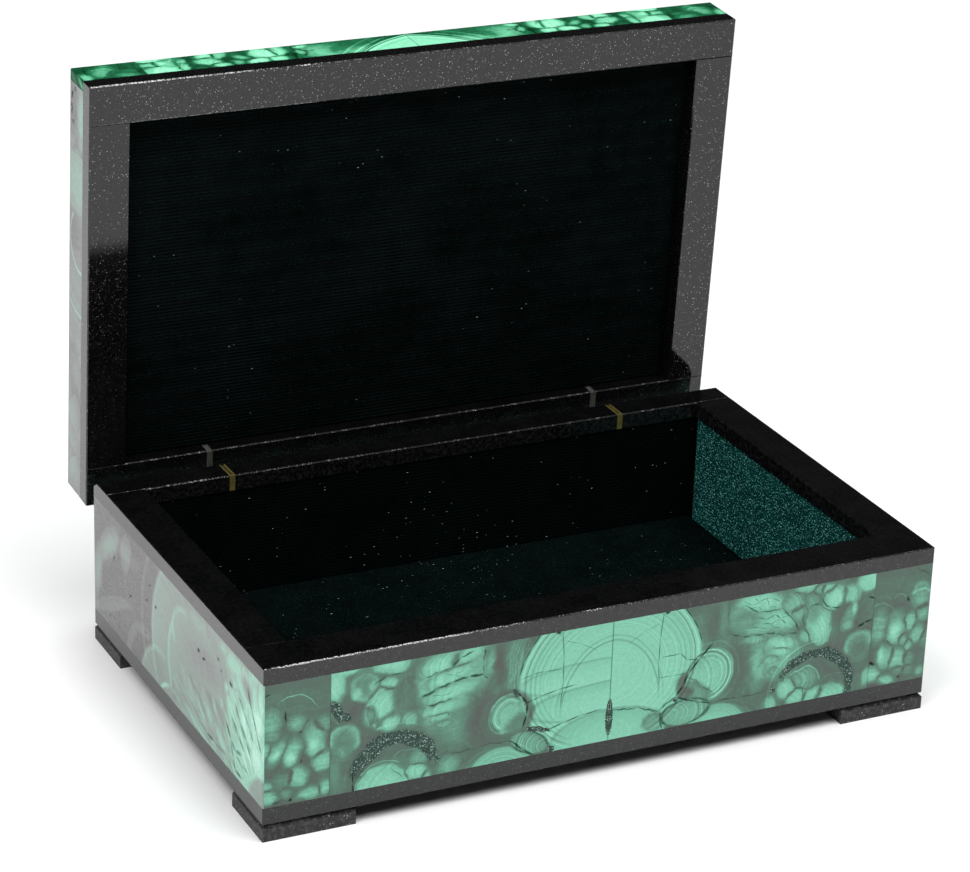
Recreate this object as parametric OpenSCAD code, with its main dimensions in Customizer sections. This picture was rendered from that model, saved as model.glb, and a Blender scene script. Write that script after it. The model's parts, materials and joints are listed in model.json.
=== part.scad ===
// Malachite casket: a low stone box on four feet with a hinged slab lid.
// Sawn malachite panels are glued over plain stone walls, polished black strips
// frame the rim and the underside of the lid, and velvet lines the inside.

/* [Box] */
// Length of the box from side to side
box_w = 190; // [170:1:220]
// Depth of the box from front to back
box_d = 121; // [110:1:140]
// Width of the eased arrises on the polished stone
arris = 0.3; // [0.1:0.05:0.5]
// Thickness of the malachite facing
facing_t = 3; // [2:0.25:3.5]
// Width of the corner panels at both ends of the front
corner_panel_w = 17.6; // [12:0.2:24]

/* [Base] */
// Thickness of the black bottom plate
plate_t = 4.8; // [4:0.1:6]
// Height of the malachite walls
wall_h = 33.6; // [28:0.2:50]
// Thickness of the black rim strips
rim_t = 4.5; // [4:0.1:6]
// Width of the front rim strip
rim_front_w = 12.5; // [11:0.1:15]
// Width of the side rim strips
rim_side_w = 11; // [10:0.1:15]
// Width of the back rim strip
rim_back_w = 11; // [10:0.1:15]
// Depth of the slope along the back edge of the rim
slope_d = 3.1; // [2.5:0.1:4]
// Height of the slope along the back edge of the rim
slope_h = 2.1; // [1.5:0.1:3]

/* [Feet] */
// Width of a foot from side to side
foot_w = 25; // [18:0.5:35]
// Depth of a foot from front to back
foot_d = 20; // [15:0.5:30]
// Height of a foot
foot_h = 4.6; // [3:0.1:8]
// Bevel along the upper outside edges of a foot
foot_bevel = 1.1; // [0.4:0.1:1.5]

/* [Lid] */
// Angle that the lid stands open
lid_open = 86.6; // [0:0.1:86.6]
// Thickness of the whole lid
lid_t = 15; // [13:0.1:20]
// Thickness of the black strips under the lid
lid_frame_t = 4.9; // [4.5:0.1:6]
// Width of the front strip under the lid
lid_front_w = 11; // [9:0.1:15]
// Width of the side strips under the lid
lid_side_w = 11.3; // [9:0.1:15]
// Width of the back strip under the lid
lid_back_w = 11.3; // [10:0.1:15]
// Gap between the rim and the closed lid
lid_gap = 0.15; // [0.1:0.01:0.3]

/* [Lining] */
// Thickness of the velvet board on the floor
floor_pad_t = 2.8; // [1.5:0.1:4]
// Thickness of the velvet boards on the walls
wall_pad_t = 1.5; // [1:0.1:2]
// Thickness of the velvet board in the lid
lid_pad_t = 0.8; // [0.5:0.1:1.5]
// How far the velvet stands back from the edge of the rim
pad_setback = 0.2; // [0.1:0.05:0.5]

/* [Hinges] */
// Distance of each hinge from the middle of the box
hinge_x = 59.2; // [40:0.2:70]
// Distance of the hinge axis from the back face
hinge_back = 2.6; // [2.5:0.1:3]
// Depth of the hinge axis under the rim
hinge_drop = 8.6; // [8:0.1:9.5]
// Width of the sawn slots that hold the hinges
kerf_w = 1.9; // [1.8:0.05:2.4]
// Thickness of one cheek of the folded fork
cheek_t = 0.4; // [0.3:0.05:0.45]
// Thickness of the tongue that turns between the cheeks
tongue_t = 1; // [0.8:0.05:1]
// Radius of the eye at the end of the tongue
eye_r = 2.1; // [1.8:0.05:2.2]
// Diameter of the hinge pin
pin_d = 1.4; // [1:0.1:1.6]

/* [Hidden] */
$fn = 48;
malachite = [0.36, 0.66, 0.53];
black_stone = [0.13, 0.13, 0.14];
core_stone = [0.42, 0.44, 0.4];
foot_stone = [0.22, 0.22, 0.22];
velvet = [0.01, 0.16, 0.15];
brass = [0.6, 0.5, 0.22];
steel = [0.6, 0.6, 0.62];

// Clearances of the fitted pieces
glue_gap = 0.03;
pin_fit = 0.03;
pin_seat = 0.01;
stop_gap = 0.06;
pad_gap = 0.1;

// Half sizes and levels, counted from the soles of the feet
half_w = box_w / 2;
half_d = box_d / 2;
plate_z = foot_h;
wall_z = plate_z + plate_t;
rim_z = wall_z + wall_h;
rim_top = rim_z + rim_t;
lid_z = rim_top + lid_gap;
lid_core_z = lid_z + lid_frame_t;
lid_top = lid_z + lid_t;
lid_facing_z = lid_top - facing_t;

// Faces between the layers of the walls
core_x = half_w - facing_t;
core_y = half_d - facing_t;
tray_x = half_w - rim_side_w;
tray_front = -half_d + rim_front_w;
tray_back = half_d - rim_back_w;
pad_x = tray_x + pad_setback;
pad_front = tray_front - pad_setback;
pad_back = tray_back + pad_setback;
seam_x = half_w - corner_panel_w;

// Hinge axis and the slots around it
axis_y = half_d - hinge_back;
axis_z = rim_top - hinge_drop;
kerf_floor = axis_z - eye_r - 0.5;
kerf_front = axis_y - eye_r - 1.5;
fork_w = kerf_w - 2 * glue_gap;
fork_back = half_d - 0.4;
stop_w = 0.7;
tongue_root_h = 4;
root_overlap = 1;
slope_inset = 0.2;

// Angle at which the tongues come down on the stops of the forks
full_open = 86.6;

// The origin is under the middle of the box with its lid open
lid_reach = axis_y + (hinge_back - arris) * cos(lid_open)
    + (lid_top - axis_z) * sin(lid_open);
shift_y = (half_d - lid_reach) / 2;

// Outline of a rectangle with its corners cut back, counted from the lower left
function eased(lo, hi, cut) = concat(
    cut[0] > 0 ? [[lo.x, lo.y + cut[0]], [lo.x + cut[0], lo.y]] : [lo],
    cut[1] > 0 ? [[hi.x - cut[1], lo.y], [hi.x, lo.y + cut[1]]] : [[hi.x, lo.y]],
    cut[2] > 0 ? [[hi.x, hi.y - cut[2]], [hi.x - cut[2], hi.y]] : [hi],
    cut[3] > 0 ? [[lo.x + cut[3], hi.y], [lo.x, hi.y - cut[3]]] : [[lo.x, hi.y]]
);

// Solid between two corners
module block(lo, hi) {
    translate(lo) cube(hi - lo);
}

// A profile drawn in Y and Z, drawn out along X
module along_x(x0, x1) {
    translate([x0, 0, 0]) rotate([90, 0, 90]) linear_extrude(x1 - x0) children();
}

// A profile drawn in X and Z, drawn out along Y
module along_y(y0, y1) {
    translate([0, y1, 0]) rotate([90, 0, 0]) linear_extrude(y1 - y0) children();
}

// The outside of the base, with the slope along its back edge
module base_envelope() {
    intersection() {
        along_x(-half_w, half_w) polygon([
            [-half_d, plate_z + arris],
            [-half_d + arris, plate_z],
            [half_d - arris, plate_z],
            [half_d, plate_z + arris],
            [half_d, rim_top - slope_h],
            [half_d - slope_d, rim_top],
            [-half_d + arris, rim_top],
            [-half_d, rim_top - arris]
        ]);
        along_y(-half_d, half_d)
            polygon(eased([-half_w, plate_z], [half_w, rim_top], [arris, arris, arris, arris]));
        upright_edges(plate_z, rim_top);
    }
}

// The outside of the closed lid
module lid_envelope() {
    cuts = [arris, arris, arris, arris];
    intersection() {
        along_x(-half_w, half_w) polygon(eased([-half_d, lid_z], [half_d, lid_top], cuts));
        along_y(-half_d, half_d) polygon(eased([-half_w, lid_z], [half_w, lid_top], cuts));
        upright_edges(lid_z, lid_top);
    }
}

// Plan of the box between two levels, with its upright corners eased
module upright_edges(z0, z1) {
    translate([0, 0, z0]) linear_extrude(z1 - z0)
        polygon(eased([-half_w, -half_d], [half_w, half_d], [arris, arris, arris, arris]));
}

// A piece of the base, cut to the outside of the box
module in_base() {
    translate([0, shift_y, 0]) intersection() {
        children();
        base_envelope();
    }
}

// Moves a piece from the closed box to where it stands with the lid open
module on_lid() {
    translate([0, shift_y + axis_y, axis_z])
        rotate([-lid_open, 0, 0])
            translate([0, -axis_y, -axis_z]) children();
}

// A piece of the lid, cut to the outside of the lid
module in_lid() {
    on_lid() intersection() {
        children();
        lid_envelope();
    }
}

// The saw cut for one hinge through the back of the base
module base_kerf(x) {
    block([x - kerf_w / 2, kerf_front, kerf_floor], [x + kerf_w / 2, half_d + 1, rim_top + 1]);
}

// Black plate under the walls, whose edge shows as the lower border
module bottom_plate() {
    color(black_stone) in_base()
        block([-half_w, -half_d, plate_z], [half_w, half_d, wall_z]);
}

// Rough sawn foot under one corner, bevelled where it meets the plate
module foot(side, end) {
    outer = [side * half_w, end * half_d];
    inner = [side * (half_w - foot_w), end * (half_d - foot_d)];
    lo = [min(outer.x, inner.x), min(outer.y, inner.y)];
    hi = [max(outer.x, inner.x), max(outer.y, inner.y)];
    left_cut = side < 0 ? foot_bevel : 0;
    right_cut = side > 0 ? foot_bevel : 0;
    front_cut = end < 0 ? foot_bevel : 0;
    back_cut = end > 0 ? foot_bevel : 0;
    color(foot_stone) translate([0, shift_y, 0]) intersection() {
        along_y(lo.y, hi.y) polygon(eased([lo.x, 0], [hi.x, foot_h], [0, 0, right_cut, left_cut]));
        along_x(lo.x, hi.x) polygon(eased([lo.y, 0], [hi.y, foot_h], [0, 0, back_cut, front_cut]));
    }
}

module foot_front_left() { foot(-1, -1); }
module foot_front_right() { foot(1, -1); }
module foot_back_left() { foot(-1, 1); }
module foot_back_right() { foot(1, 1); }

// Plain stone wall behind the front facing
module wall_core_front() {
    color(core_stone) in_base()
        block([-core_x, -core_y, wall_z], [core_x, pad_front - wall_pad_t, rim_z]);
}

// Plain stone wall behind the back facing, slotted for the hinges
module wall_core_back() {
    color(core_stone) in_base() difference() {
        block([-core_x, pad_back + wall_pad_t, wall_z], [core_x, core_y, rim_z]);
        for (side = [-1, 1]) base_kerf(side * hinge_x);
    }
}

// Plain stone wall at one end, between the front and the back walls
module wall_core_side(side) {
    near = side * (pad_x + wall_pad_t);
    far = side * core_x;
    color(core_stone) in_base()
        block(
            [min(near, far), pad_front - wall_pad_t, wall_z],
            [max(near, far), pad_back + wall_pad_t, rim_z]
        );
}

module wall_core_left() { wall_core_side(-1); }
module wall_core_right() { wall_core_side(1); }

// One malachite panel of the front, between two seams
module front_panel(x0, x1) {
    color(malachite) in_base()
        block([x0, -half_d, wall_z], [x1, -core_y, rim_z]);
}

module front_corner_left() { front_panel(-half_w, -seam_x); }
module front_panel_left() { front_panel(-seam_x, 0); }
module front_panel_right() { front_panel(0, seam_x); }
module front_corner_right() { front_panel(seam_x, half_w); }

// Malachite panel of one end, between the front and the back panels
module side_panel(side) {
    color(malachite) in_base()
        block(
            [side < 0 ? -half_w : core_x, -core_y, wall_z],
            [side < 0 ? -core_x : half_w, core_y, rim_z]
        );
}

module side_panel_left() { side_panel(-1); }
module side_panel_right() { side_panel(1); }

// One malachite half of the back, slotted for its hinge
module back_panel(side) {
    color(malachite) in_base() difference() {
        block([side < 0 ? -half_w : 0, core_y, wall_z], [side < 0 ? 0 : half_w, half_d, rim_z]);
        base_kerf(side * hinge_x);
    }
}

module back_panel_left() { back_panel(-1); }
module back_panel_right() { back_panel(1); }

// Front strip of the rim, running the full length of the box
module rim_front() {
    color(black_stone) in_base() along_x(-half_w, half_w)
        polygon(eased([-half_d, rim_z], [tray_front, rim_top], [0, 0, arris, 0]));
}

// Side strip of the rim, butted against the front and back strips
module rim_side(side) {
    near = side * tray_x;
    far = side * half_w;
    color(black_stone) in_base() along_y(tray_front, tray_back)
        polygon(eased(
            [min(near, far), rim_z],
            [max(near, far), rim_top],
            [0, 0, side < 0 ? arris : 0, side > 0 ? arris : 0]
        ));
}

module rim_left() { rim_side(-1); }
module rim_right() { rim_side(1); }

// Length of the back strip of the rim between two hinges or ends
module rim_back(x0, x1) {
    color(black_stone) in_base() along_x(x0, x1)
        polygon(eased([tray_back, rim_z], [half_d, rim_top], [0, 0, 0, arris]));
}

module rim_back_left() { rim_back(-half_w, -hinge_x - kerf_w / 2); }
module rim_back_middle() { rim_back(-hinge_x + kerf_w / 2, hinge_x - kerf_w / 2); }
module rim_back_right() { rim_back(hinge_x + kerf_w / 2, half_w); }

// Velvet board on the floor of the tray
module floor_lining() {
    color(velvet) translate([0, shift_y, 0])
        block(
            [-pad_x + pad_gap, pad_front + pad_gap, wall_z],
            [pad_x - pad_gap, pad_back - pad_gap, wall_z + floor_pad_t]
        );
}

// Velvet board on the front or the back wall
module wall_lining_long(y0, y1) {
    color(velvet) translate([0, shift_y, 0])
        block([-pad_x - wall_pad_t, y0, wall_z], [pad_x + wall_pad_t, y1, rim_z]);
}

// Velvet board on one end wall, between the long boards
module wall_lining_side(side) {
    near = side * pad_x;
    far = side * (pad_x + wall_pad_t);
    color(velvet) translate([0, shift_y, 0])
        block([min(near, far), pad_front, wall_z], [max(near, far), pad_back, rim_z]);
}

module wall_lining_front() { wall_lining_long(pad_front - wall_pad_t, pad_front); }
module wall_lining_back() { wall_lining_long(pad_back, pad_back + wall_pad_t); }
module wall_lining_left() { wall_lining_side(-1); }
module wall_lining_right() { wall_lining_side(1); }

// Side view of one cheek of the fork, in the saw cut and under the slope of the rim
module fork_outline() {
    ear_front = kerf_front + glue_gap;
    difference() {
        polygon([
            [tray_back, rim_top],
            [half_d - slope_d - slope_inset, rim_top],
            [fork_back, rim_top - slope_h + slope_inset * slope_h / slope_d - slope_inset],
            [fork_back, kerf_floor + glue_gap],
            [ear_front, kerf_floor + glue_gap],
            [ear_front, rim_z],
            [tray_back, rim_z]
        ]);
        translate([axis_y, axis_z]) circle(pin_d / 2 + pin_seat);
    }
}

// Folded brass fork: two cheeks, the fold that shows in the tray, and the stop of the lid
module hinge_fork(side) {
    fork_x = side * hinge_x;
    gap = fork_w - 2 * cheek_t;
    stop_front = fork_back - stop_w;
    stop_top = axis_z + (stop_front - axis_y) / tan(full_open) - eye_r / sin(full_open) - stop_gap;
    color(brass) translate([fork_x, shift_y, 0]) union() {
        along_x(-fork_w / 2, -gap / 2) fork_outline();
        along_x(gap / 2, fork_w / 2) fork_outline();
        block([-fork_w / 2, tray_back, rim_z], [fork_w / 2, tray_back + cheek_t, rim_top]);
        block([-fork_w / 2, stop_front, kerf_floor + glue_gap], [fork_w / 2, fork_back, stop_top]);
    }
}

module hinge_fork_left() { hinge_fork(-1); }
module hinge_fork_right() { hinge_fork(1); }

// Pin through the cheeks of one fork
module hinge_pin(side) {
    color(steel) translate([side * hinge_x - fork_w / 2, shift_y + axis_y, axis_z])
        rotate([0, 90, 0]) cylinder(d = pin_d, h = fork_w);
}

module hinge_pin_left() { hinge_pin(-1); }
module hinge_pin_right() { hinge_pin(1); }

// Plain stone slab inside the lid
module lid_core() {
    color(core_stone) in_lid()
        block([-core_x, -core_y, lid_core_z], [core_x, core_y, lid_facing_z]);
}

// Strip under the front edge of the lid, running its full length
module lid_frame_front() {
    color(black_stone) in_lid() along_x(-half_w, half_w)
        polygon(eased([-half_d, lid_z], [-half_d + lid_front_w, lid_core_z], [0, arris, 0, 0]));
}

// Strip under the back edge of the lid, slotted for the roots of the tongues
module lid_frame_back() {
    color(black_stone) in_lid() difference() {
        along_x(-half_w, half_w)
            polygon(eased([half_d - lid_back_w, lid_z], [half_d, lid_core_z], [arris, 0, 0, 0]));
        for (side = [-1, 1])
            block(
                [side * hinge_x - kerf_w / 2, half_d - lid_back_w - 1, lid_z - 1],
                [side * hinge_x + kerf_w / 2, half_d + 1, lid_z + tongue_root_h + glue_gap]
            );
    }
}

// Strip under one end of the lid, butted against the front and back strips
module lid_frame_side(side) {
    near = side * (half_w - lid_side_w);
    far = side * half_w;
    color(black_stone) in_lid() along_y(-half_d + lid_front_w, half_d - lid_back_w)
        polygon(eased(
            [min(near, far), lid_z],
            [max(near, far), lid_core_z],
            [side > 0 ? arris : 0, side < 0 ? arris : 0, 0, 0]
        ));
}

module lid_frame_left() { lid_frame_side(-1); }
module lid_frame_right() { lid_frame_side(1); }

// One malachite panel on top of the lid, between two seams
module lid_top_panel(x0, x1) {
    color(malachite) in_lid()
        block([x0, -core_y, lid_facing_z], [x1, core_y, lid_top]);
}

module lid_top_end_left() { lid_top_panel(-core_x, -seam_x); }
module lid_top_left() { lid_top_panel(-seam_x, 0); }
module lid_top_right() { lid_top_panel(0, seam_x); }
module lid_top_end_right() { lid_top_panel(seam_x, core_x); }

// One malachite strip on the front edge of the lid, between two seams
module lid_edge_front(x0, x1) {
    color(malachite) in_lid()
        block([x0, -half_d, lid_core_z], [x1, -core_y, lid_top]);
}

module lid_edge_corner_left() { lid_edge_front(-half_w, -seam_x); }
module lid_edge_front_left() { lid_edge_front(-seam_x, 0); }
module lid_edge_front_right() { lid_edge_front(0, seam_x); }
module lid_edge_corner_right() { lid_edge_front(seam_x, half_w); }

// Malachite strip on one end of the lid
module lid_edge_side(side) {
    color(malachite) in_lid()
        block(
            [side < 0 ? -half_w : core_x, -core_y, lid_core_z],
            [side < 0 ? -core_x : half_w, core_y, lid_top]
        );
}

module lid_edge_left() { lid_edge_side(-1); }
module lid_edge_right() { lid_edge_side(1); }

// Malachite strip on the back edge of the lid
module lid_edge_back() {
    color(malachite) in_lid()
        block([-half_w, core_y, lid_core_z], [half_w, half_d, lid_top]);
}

// Velvet board in the recess of the lid
module lid_lining() {
    color(velvet) on_lid()
        block(
            [-half_w + lid_side_w + pad_gap, -half_d + lid_front_w + pad_gap, lid_core_z - lid_pad_t],
            [half_w - lid_side_w - pad_gap, half_d - lid_back_w - pad_gap, lid_core_z]
        );
}

// Brass tongue: a root glued in the lid, and a shank that ends in an eye round the pin
module hinge_tongue(side) {
    color(brass) on_lid() translate([side * hinge_x, 0, 0]) {
        block(
            [-fork_w / 2, half_d - lid_back_w + arris, lid_z],
            [fork_w / 2, axis_y + eye_r, lid_z + tongue_root_h]
        );
        along_x(-tongue_t / 2, tongue_t / 2) difference() {
            union() {
                translate([axis_y, axis_z]) circle(eye_r);
                translate([axis_y - eye_r, axis_z]) square([2 * eye_r, lid_z + root_overlap - axis_z]);
            }
            translate([axis_y, axis_z]) circle(pin_d / 2 + pin_fit);
        }
    }
}

module hinge_tongue_left() { hinge_tongue(-1); }
module hinge_tongue_right() { hinge_tongue(1); }

bottom_plate();
foot_front_left();
foot_front_right();
foot_back_left();
foot_back_right();
wall_core_front();
wall_core_back();
wall_core_left();
wall_core_right();
front_corner_left();
front_panel_left();
front_panel_right();
front_corner_right();
side_panel_left();
side_panel_right();
back_panel_left();
back_panel_right();
rim_front();
rim_left();
rim_right();
rim_back_left();
rim_back_middle();
rim_back_right();
floor_lining();
wall_lining_front();
wall_lining_back();
wall_lining_left();
wall_lining_right();
hinge_fork_left();
hinge_fork_right();
hinge_pin_left();
hinge_pin_right();
lid_core();
lid_frame_front();
lid_frame_back();
lid_frame_left();
lid_frame_right();
lid_top_end_left();
lid_top_left();
lid_top_right();
lid_top_end_right();
lid_edge_corner_left();
lid_edge_front_left();
lid_edge_front_right();
lid_edge_corner_right();
lid_edge_left();
lid_edge_right();
lid_edge_back();
lid_lining();
hinge_tongue_left();
hinge_tongue_right();
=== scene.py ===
"""Looks of a malachite box: stone facings, black edging, velvet, hinges, floor, light and camera."""

import json
import logging
import math
import random
from dataclasses import dataclass, replace
from enum import Enum
from typing import Sequence

import bmesh
import bpy
from mathutils import Matrix, Vector

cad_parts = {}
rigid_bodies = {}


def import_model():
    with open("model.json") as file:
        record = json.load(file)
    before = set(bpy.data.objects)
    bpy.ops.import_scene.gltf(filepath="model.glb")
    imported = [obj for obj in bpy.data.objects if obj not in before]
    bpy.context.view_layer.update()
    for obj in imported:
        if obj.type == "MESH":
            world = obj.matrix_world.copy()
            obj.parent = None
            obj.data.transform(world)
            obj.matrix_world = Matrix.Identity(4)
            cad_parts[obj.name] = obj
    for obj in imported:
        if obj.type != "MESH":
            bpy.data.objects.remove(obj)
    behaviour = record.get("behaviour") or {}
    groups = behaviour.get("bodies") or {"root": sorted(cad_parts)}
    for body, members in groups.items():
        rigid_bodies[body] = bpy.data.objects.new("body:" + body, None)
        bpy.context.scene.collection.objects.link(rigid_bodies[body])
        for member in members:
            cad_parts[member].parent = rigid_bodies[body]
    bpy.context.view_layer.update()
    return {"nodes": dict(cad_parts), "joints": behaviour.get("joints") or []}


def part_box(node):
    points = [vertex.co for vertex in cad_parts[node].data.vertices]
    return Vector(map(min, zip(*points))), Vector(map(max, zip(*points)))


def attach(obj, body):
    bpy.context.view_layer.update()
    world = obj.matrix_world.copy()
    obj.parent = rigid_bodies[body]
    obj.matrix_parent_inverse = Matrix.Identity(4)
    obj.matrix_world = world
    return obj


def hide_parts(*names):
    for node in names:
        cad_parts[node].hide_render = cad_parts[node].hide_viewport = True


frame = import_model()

log = logging.getLogger("malachite_box")

MM = 0.001

# Heights and places of the stone faces, in metres, read from the frame
FACING_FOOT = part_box("front_panel_left")[0].z
FRONT_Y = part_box("front_panel_left")[0].y
BACK_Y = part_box("back_panel_left")[1].y
BOX_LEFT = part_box("front_corner_left")[0].x
CORNER_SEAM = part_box("front_panel_right")[1].x
RIM_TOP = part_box("rim_front")[1].z
LID_HINGE = next(joint for joint in frame["joints"] if joint["name"] == "lid_hinge")
HINGE_PLACE = Vector(LID_HINGE["pos_m"])
LID_TRAVEL = math.radians(LID_HINGE["range_deg"][1])
# Middle and half width of a hinge, in millimetres
HINGE_X = (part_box("hinge_fork_right")[0].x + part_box("hinge_fork_right")[1].x) / 2 / MM
HINGE_HALF = (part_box("hinge_fork_right")[1].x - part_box("hinge_fork_right")[0].x) / 2 / MM
# Gap under the closed lid and height of its black frame
LID_GAP = 0.15 * MM
LID_FRAME_T = 4.9 * MM
# Fields of malachite in mm: half the box, its depth, a wall, the lid's edge, half its top, its end
BOX_HALF, BOX_DEEP = 95.0, 121.0
WALL_HIGH, LID_EDGE_HIGH = 33.6, 10.1
TOP_HALF, TOP_END = 77.4, 17.6

Socket = bpy.types.NodeSocket
Value = float | int | Sequence[float] | Socket
Point = tuple[float, float]
Colour = tuple[float, float, float]


class Wiring:
    """Adds nodes to a tree and links them, so that a formula reads in order."""

    def __init__(self, tree: bpy.types.NodeTree) -> None:
        """Keeps the tree."""
        self.tree = tree

    def feed(self, socket: Socket, value: Value) -> None:
        """Links a socket to an output, or sets its value.

        Args:
            socket: The input that is fed.
            value: An output socket, or a plain number, vector or colour.
        """
        if isinstance(value, Socket):
            self.tree.links.new(value, socket)
        else:
            socket.default_value = value

    def fill(self, node: bpy.types.Node, inputs: dict) -> None:
        """Feeds several inputs of a node, given by name or number."""
        for key, value in inputs.items():
            self.feed(node.inputs[key], value)

    def node(self, kind: str, inputs: dict | None = None, **settings: object) -> bpy.types.Node:
        """Adds a node.

        Args:
            kind: The node's type name.
            inputs: Values or sockets by the input's name or number.
            settings: The node's own properties.

        Returns:
            The new node.
        """
        node = self.tree.nodes.new(kind)
        for name, value in settings.items():
            setattr(node, name, value)
        self.fill(node, inputs or {})
        return node

    def math(self, operation: str, *values: Value) -> Socket:
        """Returns the result of a math node, with its inputs in order."""
        return self.node("ShaderNodeMath", dict(enumerate(values)), operation=operation).outputs[0]

    def times(self, one: Value, other: Value) -> Socket:
        """Returns the product of two numbers."""
        return self.math("MULTIPLY", one, other)

    def plus(self, one: Value, other: Value) -> Socket:
        """Returns the sum of two numbers."""
        return self.math("ADD", one, other)

    def minus(self, one: Value, other: Value) -> Socket:
        """Returns the difference of two numbers."""
        return self.math("SUBTRACT", one, other)

    def larger(self, one: Value, other: Value) -> Socket:
        """Returns the larger of two numbers."""
        return self.math("MAXIMUM", one, other)

    def vector(self, operation: str, *values: Value) -> Socket:
        """Returns the vector that a vector math node gives, with its inputs in order."""
        return self.node("ShaderNodeVectorMath", dict(enumerate(values)), operation=operation).outputs[0]

    def length(self, vector: Value) -> Socket:
        """Returns the length of a vector."""
        return self.node("ShaderNodeVectorMath", {0: vector}, operation="LENGTH").outputs["Value"]

    def dot(self, one: Value, other: Value) -> Socket:
        """Returns the dot product of two vectors."""
        return self.node("ShaderNodeVectorMath", {0: one, 1: other}, operation="DOT_PRODUCT").outputs["Value"]

    def scaled(self, vector: Value, factor: Value) -> Socket:
        """Returns a vector times a number."""
        return self.node("ShaderNodeVectorMath", {0: vector, "Scale": factor}, operation="SCALE").outputs[0]

    def parts(self, vector: Value) -> tuple[Socket, Socket, Socket]:
        """Returns the three parts of a vector."""
        split = self.node("ShaderNodeSeparateXYZ", {0: vector})
        return split.outputs[0], split.outputs[1], split.outputs[2]

    def joined(self, x: Value, y: Value, z: Value = 0.0) -> Socket:
        """Returns the vector of three parts."""
        return self.node("ShaderNodeCombineXYZ", {0: x, 1: y, 2: z}).outputs[0]

    def remap(self, value: Value, low: Value, high: Value, at_low: Value = 0.0, at_high: Value = 1.0,
              smooth: bool = True) -> Socket:
        """Maps a value from one span to another and holds it at the ends.

        Args:
            value: The value.
            low: Start of its span.
            high: End of its span.
            at_low: The result at low.
            at_high: The result at high.
            smooth: Whether the change is eased.

        Returns:
            The result.
        """
        inputs = {0: value, 1: low, 2: high, 3: at_low, 4: at_high}
        return self.node("ShaderNodeMapRange", inputs, clamp=not smooth,
                         interpolation_type="SMOOTHSTEP" if smooth else "LINEAR").outputs[0]

    def mix(self, share: Value, under: Value, over: Value) -> Socket:
        """Returns the mix of two numbers."""
        return self.node("ShaderNodeMix", {0: share, 2: under, 3: over}, data_type="FLOAT").outputs[0]

    def mix_vector(self, share: Value, under: Value, over: Value) -> Socket:
        """Returns the mix of two vectors."""
        return self.node("ShaderNodeMix", {0: share, 4: under, 5: over}, data_type="VECTOR").outputs[1]

    def mix_colour(self, share: Value, under: Value, over: Value) -> Socket:
        """Returns the mix of two colours, where a plain colour has three parts."""
        pair = [value if isinstance(value, Socket) else (*value, 1.0) for value in (under, over)]
        return self.node("ShaderNodeMix", {0: share, 6: pair[0], 7: pair[1]}, data_type="RGBA").outputs[2]

    def noise(self, place: Value, scale: float, detail: float = 2.0, rough: float = 0.5) -> Socket:
        """Returns solid noise of about 0 to 1 with a mean of one half."""
        inputs = {"Vector": place, "Scale": scale, "Detail": detail, "Roughness": rough}
        return self.node("ShaderNodeTexNoise", inputs).outputs[0]

    def noise_vector(self, place: Value, scale: float, detail: float) -> Socket:
        """Returns solid noise of three parts, each of about 0 to 1."""
        inputs = {"Vector": place, "Scale": scale, "Detail": detail}
        return self.node("ShaderNodeTexNoise", inputs).outputs["Color"]

    def wave(self, value: Value, scale: float, detail: float, rough: float) -> Socket:
        """Returns noise along one value, of about 0 to 1."""
        inputs = {"W": value, "Scale": scale, "Detail": detail, "Roughness": rough}
        return self.node("ShaderNodeTexNoise", inputs, noise_dimensions="1D").outputs[0]

    def ramp(self, value: Value, stops: Sequence[tuple[float, Colour]]) -> Socket:
        """Adds a colour ramp.

        Args:
            value: The place on the ramp, from 0 to 1.
            stops: Places and colours in order.

        Returns:
            The colour.
        """
        node = self.node("ShaderNodeValToRGB", {0: value})
        elements = node.color_ramp.elements
        while len(elements) < len(stops):
            elements.new(1.0)
        for element, (place, colour) in zip(elements, stops):
            element.position = place
            element.color = (*colour, 1.0)
        return node.outputs[0]


class SocketKind(Enum):
    """Kinds of socket that the groups use."""

    NUMBER = "NodeSocketFloat"
    VECTOR = "NodeSocketVector"


def numbers(*names: str) -> dict[str, SocketKind]:
    """Gives number sockets of some names."""
    return dict.fromkeys(names, SocketKind.NUMBER)


def vectors(*names: str) -> dict[str, SocketKind]:
    """Gives vector sockets of some names."""
    return dict.fromkeys(names, SocketKind.VECTOR)


# What places an oval on a face, and what each layer of the stone hands on to the next
OVAL = vectors("Place", "Centre", "Across", "Up")
LAYERS = {**numbers("Tone", "Gap", "Near"), **vectors("Growth", "Stripes")}


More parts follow.
